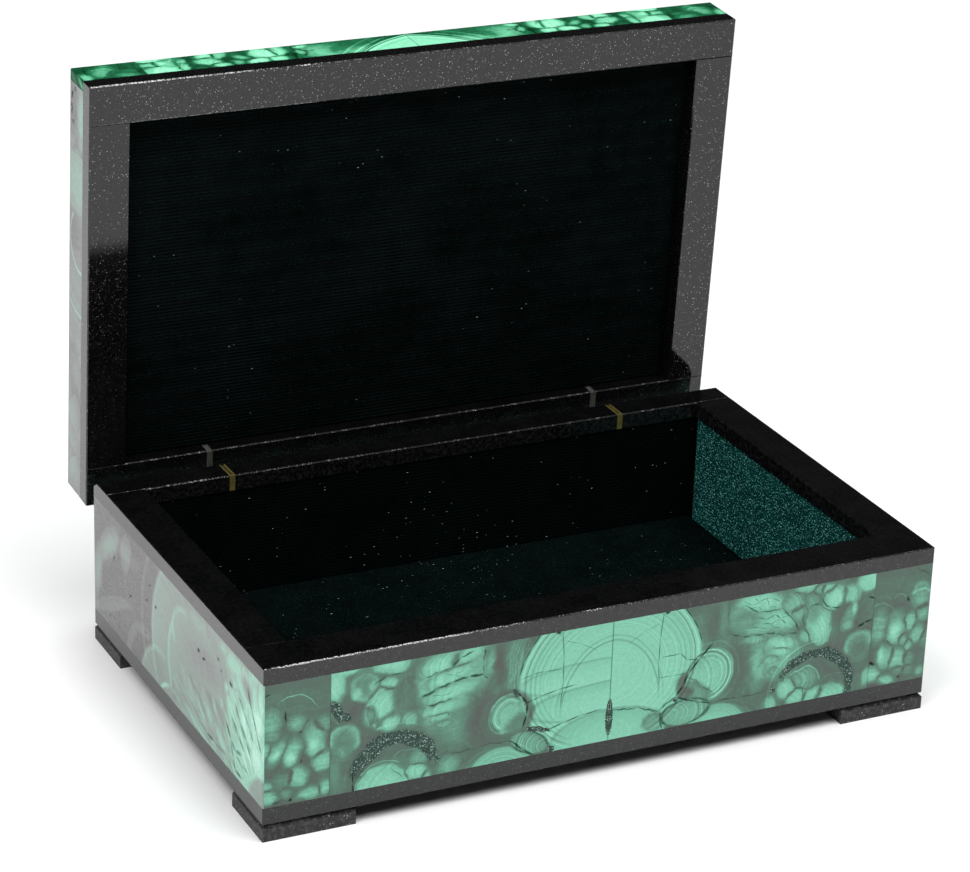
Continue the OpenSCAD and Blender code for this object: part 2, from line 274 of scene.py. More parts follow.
class ShaderGroup:
    """A shader node group that several materials place with their own values."""

    name = ""
    inputs: dict[str, SocketKind] = {}
    outputs: dict[str, SocketKind] = {}

    def __init__(self) -> None:
        """Makes the group's tree, its sockets and its nodes."""
        self.tree = bpy.data.node_groups.new(self.name, "ShaderNodeTree")
        for way, sockets in (("INPUT", self.inputs), ("OUTPUT", self.outputs)):
            for label, kind in sockets.items():
                self.tree.interface.new_socket(label, in_out=way, socket_type=kind.value)
        self.wiring = Wiring(self.tree)
        self.given = self.tree.nodes.new("NodeGroupInput").outputs
        self.wire()

    def wire(self) -> None:
        """Builds the nodes inside the group, which each kind of group does in its own way."""
        raise NotImplementedError

    def oval(self) -> Socket:
        """Gives the place inside a turned oval.

        Returns:
            A flat vector, one unit long at the oval's edge.
        """
        w, given = self.wiring, self.given
        off = w.vector("SUBTRACT", given["Place"], given["Centre"])
        return w.joined(w.dot(off, given["Across"]), w.dot(off, given["Up"]))

    def give(self, results: dict[str, Socket]) -> None:
        """Links the results to the group's outputs.

        Args:
            results: Sockets by the output's name.
        """
        end = self.tree.nodes.new("NodeGroupOutput")
        for label, socket in results.items():
            self.tree.links.new(socket, end.inputs[label])

    def place(self, wiring: Wiring, inputs: dict[str, Value]) -> bpy.types.bpy_prop_collection:
        """Places the group in a material, fed by its own socket names, and gives its outputs."""
        return wiring.node("ShaderNodeGroup", inputs, node_tree=self.tree).outputs


class NoduleGroup(ShaderGroup):
    """Lays one rounded nodule of the stone over what has been laid before."""

    name = "nodule"
    inputs = {**OVAL, **numbers("Core", "Rim", "Soft", "Outline", "Line", "Least", "Off", "Over"),
              **vectors("Lean"), **numbers("Glow"), **vectors("Stretch", "Shift", "Own stripes"), **LAYERS}
    outputs = LAYERS

    def wire(self) -> None:
        """Covers the layers inside the nodule's oval, up to where it presses against another."""
        w, given = self.wiring, self.given
        oval = self.oval()
        reach = w.length(oval)
        edge = w.math("MULTIPLY_ADD", reach, given["Least"], given["Off"])
        lead = w.minus(given["Near"], edge)
        depth = w.math("DIVIDE", w.minus(1.0, reach), given["Soft"])
        cover = w.times(w.remap(depth, -1.0, 1.0), w.larger(w.remap(lead, -0.15, 0.15), given["Over"]))
        inside = w.math("GREATER_THAN", cover, 0.5)
        shade = w.remap(reach, 0.3, 1.02, given["Core"], given["Rim"])
        shade = w.plus(shade, w.dot(oval, given["Lean"]))
        glow = w.remap(reach, 0.9, given["Glow"], 0.3, 0.0)
        ground = w.larger(given["Tone"], glow)
        growth = w.vector("MULTIPLY_ADD", oval, given["Stretch"], given["Shift"])
        off_edge = w.math("ABSOLUTE", w.minus(reach, 1.0))
        outline = w.remap(off_edge, 0.0, given["Line"], given["Outline"], 0.0)
        outline = w.times(outline, w.remap(given["Tone"], 0.3, 0.6, 0.15, given["Over"]))
        under = w.minus(1.0, given["Over"])
        touch = w.remap(w.larger(given["Near"], edge), -0.5, 0.25, under, 0.0)
        apart = w.math("ABSOLUTE", lead)
        valley = w.times(touch, w.remap(apart, 0.0, 2.4, 0.34, 0.0))
        thin = w.times(given["Outline"], 0.6)
        line = w.times(touch, w.remap(apart, 0.05, 0.5, thin, 0.0))
        left = w.times(given["Gap"], w.minus(1.0, inside))
        self.give({
            "Tone": w.minus(w.mix(cover, ground, shade), valley),
            "Gap": w.larger(w.larger(left, outline), line),
            "Near": w.math("MINIMUM", given["Near"], edge),
            "Growth": w.mix_vector(inside, given["Growth"], growth),
            "Stripes": w.mix_vector(inside, given["Stripes"], given["Own stripes"]),
        })


class SpindleGroup(ShaderGroup):
    """Adds a spindle-shaped mark, such as a crack between two points, to a mask."""

    name = "spindle"
    inputs = {**OVAL, **numbers("Strength", "Core", "Mask")}
    outputs = numbers("Mask")

    def wire(self) -> None:
        """Takes the larger of the mask and the new mark."""
        w, given = self.wiring, self.given
        oval = self.oval()
        mark = w.remap(w.length(oval), given["Core"], 1.0, given["Strength"], 0.0)
        self.give({"Mask": w.larger(given["Mask"], mark)})


class RingGroup(ShaderGroup):
    """Adds a line or band along an oval to a value: a pale or dark ring, or a crystal-lined arc."""

    name = "ring"
    inputs = {**OVAL, **numbers("Width", "Strength"), **vectors("Facing"),
              **numbers("Sweep", "Fade", "Value")}
    outputs = numbers("Value")

    def wire(self) -> None:
        """Adds the strength near the oval's edge, on the side that the ring faces."""
        w, given = self.wiring, self.given
        oval = self.oval()
        reach = w.length(oval)
        off_edge = w.math("ABSOLUTE", w.minus(reach, 1.0))
        band = w.remap(off_edge, w.times(given["Width"], 0.35), given["Width"], 1.0, 0.0)
        begin = w.minus(given["Sweep"], given["Fade"])
        side = w.remap(w.dot(oval, given["Facing"]), begin, given["Sweep"])
        mark = w.times(w.times(band, side), given["Strength"])
        self.give({"Value": w.plus(given["Value"], mark)})


class GroundGroup(ShaderGroup):
    """The stone's ground: grown cells with a tone each, and dark joints between them."""

    name = "botryoidal_ground"
    inputs = {**vectors("Place"), **numbers("Cell", "Dull", "Bright", "Joint", "Depth", "Drift")}
    outputs = LAYERS

    def wire(self) -> None:
        """Reads cells twice, once for their centres and once for their borders."""
        w, given = self.wiring, self.given
        place = w.vector("DIVIDE", given["Place"], w.joined(given["Cell"], given["Cell"], 1.0))
        cells = {"Vector": place, "Scale": 1.0, "Randomness": 0.95}
        near = w.node("ShaderNodeTexVoronoi", cells, voronoi_dimensions="2D", feature="F1")
        border = w.node("ShaderNodeTexVoronoi", cells, voronoi_dimensions="2D",
                        feature="DISTANCE_TO_EDGE").outputs["Distance"]
        chance, seed, _ = w.parts(near.outputs["Color"])
        tone = w.remap(chance, 0.1, 0.9, given["Dull"], given["Bright"], smooth=False)
        drop = w.remap(near.outputs["Distance"], 0.0, 0.9, 0.08, -0.16, smooth=False)
        clouds = w.minus(w.noise(given["Place"], 0.11, 3.0), 0.5)
        drift = w.times(clouds, given["Drift"])
        joint = w.remap(border, 0.0, 0.05, given["Joint"], 0.0)
        self.give({
            "Tone": w.plus(w.plus(tone, drop), drift),
            "Gap": joint,
            "Near": w.math("MULTIPLY_ADD", chance, 4.0, 9.0),
            "Growth": w.vector("SUBTRACT", place, near.outputs["Position"]),
            "Stripes": w.joined(9.0, given["Depth"], w.times(seed, 40.0)),
        })


class MalachiteGroup(ShaderGroup):
    """Turns the laid layers into bands, silky fibres, joints and crystal-lined hollows."""

    name = "malachite"
    inputs = {**vectors("Place"), **LAYERS, **numbers("Hollow")}
    outputs = numbers("Tone", "Gap", "Hollow", "Crystal sparkle", "Polish", "Height", "Roughness")

    def wire(self) -> None:
        """Adds the fine structure to the tone and works out polish and relief."""
        w, given = self.wiring, self.given
        count, depth, seed = w.parts(given["Stripes"])
        reach = w.length(given["Growth"])
        across, along, _ = w.parts(given["Growth"])
        turn = w.math("ARCTAN2", along, across)
        phase = w.plus(w.times(reach, count), seed)
        bands = w.wave(phase, 1.0, 2.5, 0.7)
        spread = w.joined(w.times(turn, 11.0), w.times(reach, 1.6), seed)
        fibres = w.noise(spread, 1.6, 3.0, 0.6)
        mottle = w.noise(given["Place"], 0.9, 4.0, 0.74)
        strong = w.times(depth, w.remap(reach, 0.25, 0.9, 0.8, 2.6))
        tone = w.math("MULTIPLY_ADD", w.minus(bands, 0.5), strong, given["Tone"])
        contour = w.wave(given["Near"], 1.15, 2.0, 0.6)
        far = w.remap(given["Near"], 1.0, 7.0, 0.42, 0.0)
        fade = w.times(w.remap(given["Near"], 0.0, 0.4), far)
        tone = w.math("MULTIPLY_ADD", w.minus(contour, 0.5), fade, tone)
        silk = w.plus(w.remap(count, 5.0, 16.0, 0.2, 0.03), w.remap(count, 1.0, 3.5, 0.9, 0.0))
        tone = w.math("MULTIPLY_ADD", w.minus(fibres, 0.5), silk, tone)
        tone = w.math("MULTIPLY_ADD", w.minus(mottle, 0.5), 0.22, tone)
        crystals = w.node("ShaderNodeTexVoronoi", {"Vector": given["Place"], "Scale": 2.7})
        chance, size, _ = w.parts(crystals.outputs["Color"])
        grown = w.math("DIVIDE", crystals.outputs["Distance"], w.plus(size, 0.45))
        # Pale points in the hollows: partly crystals, partly painted sparkle.
        crystal_sparkle = w.times(w.math("POWER", chance, 2.2), w.remap(grown, 0.15, 0.6, 1.2, 0.0))
        grit = w.noise(given["Place"], 1.5, 3.0, 0.65)
        bite = w.remap(given["Hollow"], 0.0, 0.3, 0.0, 1.8)
        ragged = w.math("MULTIPLY_ADD", w.minus(grit, 0.5), bite, given["Hollow"])
        hollow = w.remap(ragged, 0.4, 0.6)
        gap = w.times(given["Gap"], w.remap(mottle, 0.3, 0.6, 0.65, 1.0))
        gap = w.larger(gap, w.remap(ragged, 0.3, 0.45, 0.0, 0.5))
        open_part = w.larger(gap, hollow)
        facets = w.times(w.times(crystals.outputs["Distance"], size), hollow)
        sunk = w.times(hollow, -0.7)
        self.give({
            "Tone": tone,
            "Gap": gap,
            "Hollow": hollow,
            "Crystal sparkle": crystal_sparkle,
            "Polish": w.remap(open_part, 0.2, 0.75, 1.0, 0.0),
            "Height": w.plus(sunk, facets),
            "Roughness": w.remap(open_part, 0.0, 1.0, 0.42, 0.62, smooth=False),
        })


class SpeckleGroup(ShaderGroup):
    """Fine mineral grains of a dark stone."""

    name = "mineral_speckle"
    inputs = {**vectors("Place"), **numbers("Grain", "Share")}
    outputs = numbers("Speck", "Shine", "Cloud", "Grit", "Patch")

    def wire(self) -> None:
        """Picks some of the cells of a fine cell pattern, each with its own brightness."""
        w, given = self.wiring, self.given
        scale = w.math("DIVIDE", 1.0, given["Grain"])
        turned = w.node("ShaderNodeMapping", {"Vector": given["Place"], "Rotation": (0.6, 0.4, 0.7)})
        cells = w.node("ShaderNodeTexVoronoi", {"Vector": turned.outputs[0], "Scale": scale})
        chance, bright, _ = w.parts(cells.outputs["Color"])
        chosen = w.math("LESS_THAN", chance, given["Share"])
        radius = w.remap(bright, 0.0, 1.0, 0.14, 0.34, smooth=False)
        body = w.math("LESS_THAN", cells.outputs["Distance"], radius)
        speck = w.times(chosen, body)
        strength = w.remap(w.math("POWER", bright, 7.0), 0.0, 1.0, 0.13, 1.0, smooth=False)
        self.give({
            "Speck": speck,
            "Shine": w.times(speck, strength),
            "Cloud": w.noise(given["Place"], 0.12, 4.0, 0.6),
            "Grit": w.noise(given["Place"], 3.2, 3.0, 0.65),
            "Patch": w.noise(given["Place"], 0.8, 4.0, 0.7),
        })


class ArrisGroup(ShaderGroup):
    """Finds the eased edges of a piece and the chips along them, which carry a painted glint."""

    name = "arris_wear"
    inputs = {**vectors("Place", "Normal", "Worn side"), **numbers("Chips")}
    outputs = numbers("Arris", "Chip", "Glint")

    def wire(self) -> None:
        """Marks faces that lean half way between up and forward, and speckles them with chips."""
        w, given = self.wiring, self.given
        _, y, z = w.parts(w.vector("ABSOLUTE", given["Normal"]))
        arris = w.remap(w.math("MINIMUM", y, z), 0.6, 0.65)
        slope = w.dot(given["Place"], given["Worn side"])
        worn = w.plus(w.noise(given["Place"], 0.05, 2.0, 0.6), slope)
        worn = w.remap(worn, 0.3, 0.85, 0.2, -0.03)
        fine = w.noise(given["Place"], 3.0, 2.0, 0.6)
        need = w.remap(given["Chips"], 0.0, 1.0, 0.66, 0.42, smooth=False)
        chips = w.remap(w.minus(w.minus(fine, worn), need), 0.0, 0.1)
        chips = w.times(chips, given["Chips"])
        rubbed = w.remap(w.noise(given["Place"], 0.8, 3.0, 0.7), 0.55, 0.61)
        self.give({"Arris": arris, "Chip": w.times(arris, chips), "Glint": w.times(arris, rubbed)})


class NapGroup(ShaderGroup):
    """Pile of a velvet: brushed patches, painted glints on the fibre tips and specks of lint."""

    name = "velvet_nap"
    inputs = {**vectors("Place"), **numbers("Lint"), **vectors("Along")}
    outputs = numbers("Brush", "Painted tip glint", "Lint", "Height", "Rib")

    def wire(self) -> None:
        """Reads soft noise for the brushing, cells for the painted tip glints and the lint, and waves for the
        painted rib highlights.
        """
        w, given = self.wiring, self.given
        brush = w.noise(given["Place"], 0.11, 3.0, 0.6)
        tips = w.node("ShaderNodeTexVoronoi", {"Vector": given["Place"], "Scale": 3.0})
        chance, bright, _ = w.parts(tips.outputs["Color"])
        # Painted glints of single fibre tips, as a mask.
        painted_tip_glint = w.times(w.math("POWER", bright, 5.5), w.remap(tips.outputs["Distance"], 0.15, 0.5, 1.0, 0.0))
        fibres = w.node("ShaderNodeMapping", {"Vector": given["Place"], "Scale": (0.8, 2.6, 2.0)}).outputs[0]
        spots = w.node("ShaderNodeTexVoronoi", {"Vector": fibres, "Scale": 0.9})
        rare, strength, _ = w.parts(spots.outputs["Color"])
        gathered = w.remap(w.noise(given["Place"], 0.045, 2.0), 0.45, 0.6, 0.25, 2.6)
        lint = w.times(w.math("LESS_THAN", rare, w.times(given["Lint"], gathered)),
                       w.remap(spots.outputs["Distance"], 0.07, 0.22, strength, 0.0))
        pile = w.noise(given["Place"], 2.4, 3.0, 0.7)
        # The ribs' colour is painted highlight along their crests, shown in patches.
        rib = w.math("SINE", w.times(w.dot(given["Place"], given["Along"]), math.tau))
        patch = w.remap(w.noise(given["Place"], 0.03, 2.0), 0.4, 0.65)
        self.give({"Brush": brush, "Painted tip glint": painted_tip_glint, "Lint": lint, "Height": w.times(pile, chance),
                   "Rib": w.times(w.remap(rib, -0.6, 1.0), patch)})


def oval_inputs(centre: Point, radii: Point, turn: float) -> dict[str, Value]:
    """Gives the values that place an oval on a face.

    Args:
        centre: The oval's centre.
        radii: Its half length and half height.
        turn: Its turn in radians.

    Returns:
        Values by the socket names that the oval groups share.
    """
    wide, tall = radii
    cosine, sine = math.cos(turn), math.sin(turn)
    return {"Centre": (*centre, 0.0), "Across": (cosine / wide, sine / wide, 0.0),
            "Up": (-sine / tall, cosine / tall, 0.0)}


class Cut(Enum):
    """The way a facing lies: which of the box's directions run across and up its face."""

    FRONT = (0, 2)
    END = (1, 2)
    TOP = (0, 1)


@dataclass(frozen=True)
class Nodule:
    """One rounded growth in the stone, in millimetres on its face."""

    centre: Point
    radii: Point
    tilt: float = 0.0
    core: float = 0.8
    rim: float = 0.55
    soft: float = 0.6
    outline: float = 0.75
    bands: float = 4.5
    depth: float = 0.14
    shift: Point = (0.9, 0.3)
    lean: Point = (0.0, -0.05)
    squeeze: float = 1.0
    still: bool = False
    over: bool = False

    line_width, glow_width = 0.5, 1.1
    roundest = 1.6
    band_start = 7.3
    far_off = 100.0

    def inputs(self, index: int) -> dict[str, Value]:
        """Gives the group's values.

        Args:
            index: The nodule's number, which sets where its bands start.

        Returns:
            Values by the nodule group's socket names.
        """
        wide, tall = self.radii
        least = min(wide, tall)
        return {**oval_inputs(self.centre, self.radii, math.radians(self.tilt)),
                "Core": self.core, "Rim": self.rim, "Soft": self.soft / least,
                "Outline": self.outline, "Line": self.line_width / least, "Lean": (*self.lean, 0.0),
                "Least": least, "Off": -least if self.outline else self.far_off,
                "Over": 1.0 if self.over or not self.outline else 0.0,
                "Glow": 1.0 + self.glow_width / least, "Shift": (*self.shift, 0.0),
                "Stretch": (self.squeeze, min(1.0, self.roundest * tall / wide), 1.0),
                "Own stripes": (self.bands, self.depth, self.band_start * index)}


def finger(centre: Point, radii: Point, tilt: float, core: float, outline: float = 0.5) -> Nodule:
    """Gives an upright soft nodule, banded across, that fades towards its upper end.

    Args:
        centre: Its centre.
        radii: Its half width and half height.
        tilt: Its turn in degrees.
        core: Tone of its middle.
        outline: Strength of its dark edge.

    Returns:
        The nodule.
    """
    wide, tall = radii
    return Nodule(centre, (1.1 * wide, 1.1 * tall), tilt, 0.87 * core, 0.57 * core, outline=outline,
                  bands=3.0, depth=0.11, shift=(0.0, -1.2), lean=(0.0, -0.12), squeeze=0.45)


def pillow(centre: Point, radii: Point, tilt: float, core: float, outline: float = 0.6) -> Nodule:
    """Gives a nodule that presses against its neighbours and has a line where it touches them."""
    return Nodule(centre, radii, tilt, core, 0.76 * core, outline=outline)


def haze(centre: Point, radii: Point, tilt: float, core: float, rim: float, soft: float) -> Nodule:
    """Gives a patch of tone without an outline, whose edge is twice as wide as soft says."""
    return Nodule(centre, radii, tilt, core, rim, soft=soft, outline=0.0, depth=0.06)


@dataclass(frozen=True)
class Crack:
    """A dark line through some points, widest in the middle of each stretch."""

    points: tuple[Point, ...]
    width: float = 0.22
    dark: float = 0.8
    still: bool = False

    overlap = 0.68
    fullness = 1.2
    solid = 0.35

    def stretches(self) -> list[dict[str, Value]]:
        """Follows the crack from point to point.

        Returns:
            The spindle group's values for each stretch.
        """
        found = []
        for (x0, y0), (x1, y1) in zip(self.points, self.points[1:]):
            run, rise = x1 - x0, y1 - y0
            half = self.overlap * math.hypot(run, rise)
            middle = ((x0 + x1) / 2, (y0 + y1) / 2)
            radii = (half, self.fullness * self.width)
            found.append({**oval_inputs(middle, radii, math.atan2(rise, run)),
                          "Strength": self.dark, "Core": self.solid})
        return found


@dataclass(frozen=True)
class Ring:
    """A pale or dark line along part of an oval."""

    centre: Point
    radii: Point
    width: float
    strength: float
    facing: Point = (0.0, 1.0)
    sweep: float = -2.0
    tilt: float = 0.0
    fade: float = 0.3
    still: bool = False

    def inputs(self) -> dict[str, Value]:
        """Sets out the ring.

        Returns:
            Values by the ring group's socket names.
        """
        return {**oval_inputs(self.centre, self.radii, math.radians(self.tilt)),
                "Width": self.width / min(self.radii), "Strength": self.strength,
                "Facing": (*self.facing, 0.0), "Sweep": self.sweep, "Fade": self.fade}


@dataclass(frozen=True)
class Pocket:
    """A small hollow lined with crystals."""

    centre: Point
    radii: Point
    tilt: float = 0.0
    still: bool = False

    solid = 0.6

    def inputs(self) -> dict[str, Value]:
        """Gives the spindle group's values."""
        oval = oval_inputs(self.centre, self.radii, math.radians(self.tilt))
        return {**oval, "Strength": 1.0, "Core": self.solid}


def cracks_of(*rows: tuple, still: bool = False) -> tuple[Crack, ...]:
    """Gives cracks from rows of a width, a darkness and points."""
    return tuple(Crack(tuple(points), width, dark, still) for width, dark, *points in rows)


def rings_of(*rows: tuple, still: bool = False) -> tuple[Ring, ...]:
    """Gives rings from rows of a ring's own values, in their order."""
    return tuple(Ring(*row, still=still) for row in rows)


def pockets_of(*rows: tuple) -> tuple[Pocket, ...]:
    """Gives pockets from rows of a centre, radii and a turn."""
    return tuple(Pocket(*row) for row in rows)


# Tones at which the five colours of a palette stand
TONE_STOPS = (0.0, 0.24, 0.5, 0.82, 1.0)


@dataclass(frozen=True)
class Palette:
    """Colours of a slab of malachite, from its dull matrix to its palest bands."""

    matrix: Colour = (0.068, 0.070, 0.066)
    dull: Colour = (0.062, 0.132, 0.096)
    middle: Colour = (0.088, 0.240, 0.166)
    mint: Colour = (0.192, 0.560, 0.392)
    pale: Colour = (0.310, 0.730, 0.560)
    joint: Colour = (0.006, 0.016, 0.011)
    druse: Colour = (0.043, 0.078, 0.065)

    def stops(self) -> list[tuple[float, Colour]]:
        """Gives the ramp's places and colours."""
        colours = (self.matrix, self.dull, self.middle, self.mint, self.pale)
        return list(zip(TONE_STOPS, colours))


@dataclass(frozen=True)
class Ground:
    """Cells of the ground between the nodules, with the size in millimetres."""

    cell: float = 9.0
    dull: float = 0.19
    bright: float = 0.33
    joint: float = 0.0
    depth: float = 0.05
    drift: float = 0.4

    def inputs(self) -> dict[str, Value]:
        """Gives the ground group's values."""
        return {label.title(): value for label, value in vars(self).items()}


@dataclass(frozen=True)
class Facing:
    """One slab of malachite: where it lies and what its cut face shows."""

    name: str
    nodes: tuple[str, ...]
    cut: Cut
    origin: Point
    mirrored: bool = False
    on_lid: bool = False
    ground: Ground = Ground()
    palette: Palette = Palette()
    nodules: tuple[Nodule, ...] = ()
    rings: tuple[Ring, ...] = ()
    cracks: tuple[Crack, ...] = ()
    pockets: tuple[Pocket, ...] = ()
    arcs: tuple[Ring, ...] = ()
    seams: tuple[float, ...] = ()
    warp: float = 0.7
    polish: float = 1.0


# Shares of the draws, added up, that give an eye, a pillow and a crack; the rest give pockets
EYES, PILLOWS, CRACKS = 0.4, 0.85, 0.95
# Spread of a growth's place, reach and flatness, its turn in degrees, its tone and an eye's middle
PLACES, REACHES, FLATNESSES = (-0.4, 0.4), (0.45, 0.75), (0.6, 1.0)
TURNS, TONES, MIDDLES = (-60, 60), (0.5, 0.95), (-0.25, 0.25)
# Size of an eye against a pillow, and of the ring inside it
EYE_SIZE, EYE_RING = 1.35, 0.55


def strewn(seed: int, size: Point, step: float, start: Point = (0.0, 0.0)) -> dict[str, tuple]:
    """Strews banded eyes, pillows and veins over a face, one for each place of an uneven grid.

    Args:
        seed: Start of the random draws.
        size: The field's width and height.
        step: Distance from one growth to the next.
        start: Lower left corner of the strewn field.

    Returns:
        A facing's nodules, rings, cracks and pockets.
    """
    dice = random.Random(seed)
    nodules, rings, cracks, pockets = [], [], [], []
    columns, rows = (max(1, round(side / step)) for side in size)
    for row in range(rows + 1):
        for column in range(columns + 1):
            across = start[0] + (column + dice.uniform(*PLACES)) * size[0] / columns
            up = start[1] + (row + dice.uniform(*PLACES)) * size[1] / rows
            reach, flat = step * dice.uniform(*REACHES), dice.uniform(*FLATNESSES)
            tilt, core, kind = dice.uniform(*TURNS), dice.uniform(*TONES), dice.random()
            if kind < EYES:
                eye = (EYE_SIZE * reach, EYE_SIZE * reach * flat)
                shift = (dice.uniform(*MIDDLES), dice.uniform(*MIDDLES))
                nodules.append(Nodule((across, up), eye, tilt, core, 0.7 * core, outline=0.7,
                                      bands=0.5 * step + 4, depth=0.22, shift=shift))
                inner = (EYE_RING * eye[0], EYE_RING * eye[1])
                rings.append(Ring((across, up), inner, width=0.35, strength=0.14, tilt=tilt))
            elif kind < PILLOWS:
                nodules.append(pillow((across, up), (reach, reach * flat), tilt, core))
            elif kind < CRACKS:
                bow = ((across - reach, up), (across, up + 0.4 * reach), (across + reach, up))
                cracks.append(Crack(bow, 0.3))
            else:
                pockets.append(Pocket((across, up), (0.3 * reach, 0.12 * reach), tilt))
    found = {"nodules": nodules, "rings": rings, "cracks": cracks, "pockets": pockets}
    return {kind: tuple(growths) for kind, growths in found.items()}


# Growth seen on the two halves of the front, in mm from the middle seam and above the facing's foot
FRONT_DOME = Nodule((0, 19.5), (26.3, 22.5), 0, 0.86, 0.84, outline=0.75, bands=36, depth=0.14, shift=(0, 0),
                    still=True, over=True)
FRONT_DOME_FOOT = Nodule((0, 1.6), (16.7, 7.4), 0, 0.86, 0.78, soft=0.3, outline=0.3, bands=18, depth=0.06,
                         shift=(0, 0), still=True, over=True)
FRONT_LEFT_NODULES = (
    haze((44.5, 26), (10.2, 10.5), 0, 0.68, 0.58, 1), haze((45, 17.6), (8, 5.4), -20, 0.68, 0.52, 1.8),
    haze((43, 12.6), (6.4, 5), 0, 0.52, 0.36, 2.4), haze((35.4, 12.4), (5.8, 10.4), 0, 0.08, 0.2, 2.4),
    Nodule((27.6, 28), (3.4, 10), 8, 0.52, 0.36, soft=1.2, outline=0, bands=5, depth=0.2, shift=(1.5, 0)),
    haze((31.8, 27), (1.9, 8), -4, 0.06, 0.2, 1), haze((34.6, 29.4), (1.3, 4.4), 0, 0.6, 0.45, 0.7),
    Nodule((31.5, -5.6), (15, 11.6), 0, 0.55, 0.24, soft=1, outline=0, bands=12, depth=0.14, shift=(0, 0)),
    Nodule((30.5, -5), (9.8, 9.2), 0, 0.84, 0.74, outline=0.45, bands=20, depth=0.2, shift=(0, 0),
           still=True),
    FRONT_DOME,
    Nodule((6, 19.6), (20, 4.2), 0, 0.87, 0.84, soft=0.3, outline=0.25, bands=26, depth=0.08, shift=(0, 0),
           still=True, over=True),
    Nodule((0, 12), (23.2, 5.2), 0, 0.87, 0.82, soft=0.3, outline=0.3, bands=26, depth=0.08, shift=(0, 0),
           still=True, over=True),
    FRONT_DOME_FOOT,
    haze((29.4, 12.6), (7.2, 7.4), 20, 0.2, 0.14, 0.9),
    Nodule((28.8, 13.2), (5.4, 5.4), 30, 0.74, 0.62, soft=0.5, outline=0.3, bands=6, depth=0.12, over=True,
           shift=(-0.3, 0)),
    haze((26, 9.8), (2.6, 2.4), -30, 0.4, 0.2, 2),
    Nodule((22.6, 3.9), (5.6, 2.9), 22, 0.62, 0.54, soft=0.25, outline=0.8, bands=9, depth=0.3,
           shift=(1.1, 0), still=True, over=True),
    pillow((48.4, 31.2), (5.6, 2.9), -10, 0.86, 0.2), pillow((40.6, 32.4), (5.6, 2.4), -24, 0.8, 0.1),
    pillow((45.4, 27.2), (8.2, 2.3), -16, 0.84, 0.25), pillow((45.2, 22.6), (8.6, 2.3), -9, 0.84, 0.25),
    pillow((47.8, 18.7), (6.4, 1.7), -4, 0.82, 0.3), pillow((48, 16.1), (3.6, 1.1), 0, 0.74, 0.3),
    pillow((46.8, 14.1), (2.4, 1), 0, 0.62, 0.3), pillow((63.6, 22.4), (4.6, 6.2), 12, 0.84),
    pillow((66.4, 20.6), (2.5, 3), 0, 0.8, 0.3), pillow((62, 18.2), (3.8, 3.1), 0, 0.86, 0.3),
    haze((58.6, 24.2), (2.6, 4.6), 0, 0.26, 0.3, 1.3),
    pillow((61.8, 28.4), (2.6, 1.7), 0, 0.82), pillow((61.4, 33.8), (5.4, 3.2), 0, 0.86),
    Nodule((68.4, 28.4), (4.2, 3.8), 0, 0.46, 0.64, soft=0.8, outline=0.2),
    haze((70.8, 26.7), (1.6, 1.5), 0, 0.82, 0.7, 0.7), haze((66.3, 28.4), (1.2, 1.5), 0, 0.72, 0.6, 0.7),
    haze((77.2, 31.4), (3.2, 5.4), -15, 0.88, 0.76, 0.8),
    haze((73.4, 34.8), (5.6, 2.4), 0, 0.86, 0.74, 0.8),
    Nodule((56, 17.5), (2.6, 2), 20, 0.68, 0.5, soft=0.8, outline=0.2),
    Nodule((73.4, 15.2), (4.3, 4.1), 0, 0.44, 0.7, soft=0.6, outline=0.15),
    haze((74, 12.6), (2.8, 2.2), 0, 0.44, 0.36, 1.2), haze((75.2, 11.8), (1.5, 1.4), 0, 0.64, 0.54, 0.9),
    haze((76.4, 6.6), (2, 5.4), 0, 0.48, 0.32, 1.1),
    Nodule((59.5, 2), (10, 8.4), 0, 0.36, 0.24, soft=0.6, outline=0, bands=6, depth=0.06),
    Nodule((63.2, -1), (7.4, 7.2), 0, 0.88, 0.8, outline=0.3, over=True),
    Nodule((53.4, 6.4), (3, 2.6), 0, 0.58, 0.46, outline=0.4),
    pillow((54.3, 2.2), (3.1, 2.5), 0, 0.86), pillow((51.2, 0.2), (1.8, 1.8), 0, 0.7),
    Nodule((45.2, 2.2), (3.3, 3.4), 0, 0.62, 0.44, soft=0.8, outline=0.2),
)
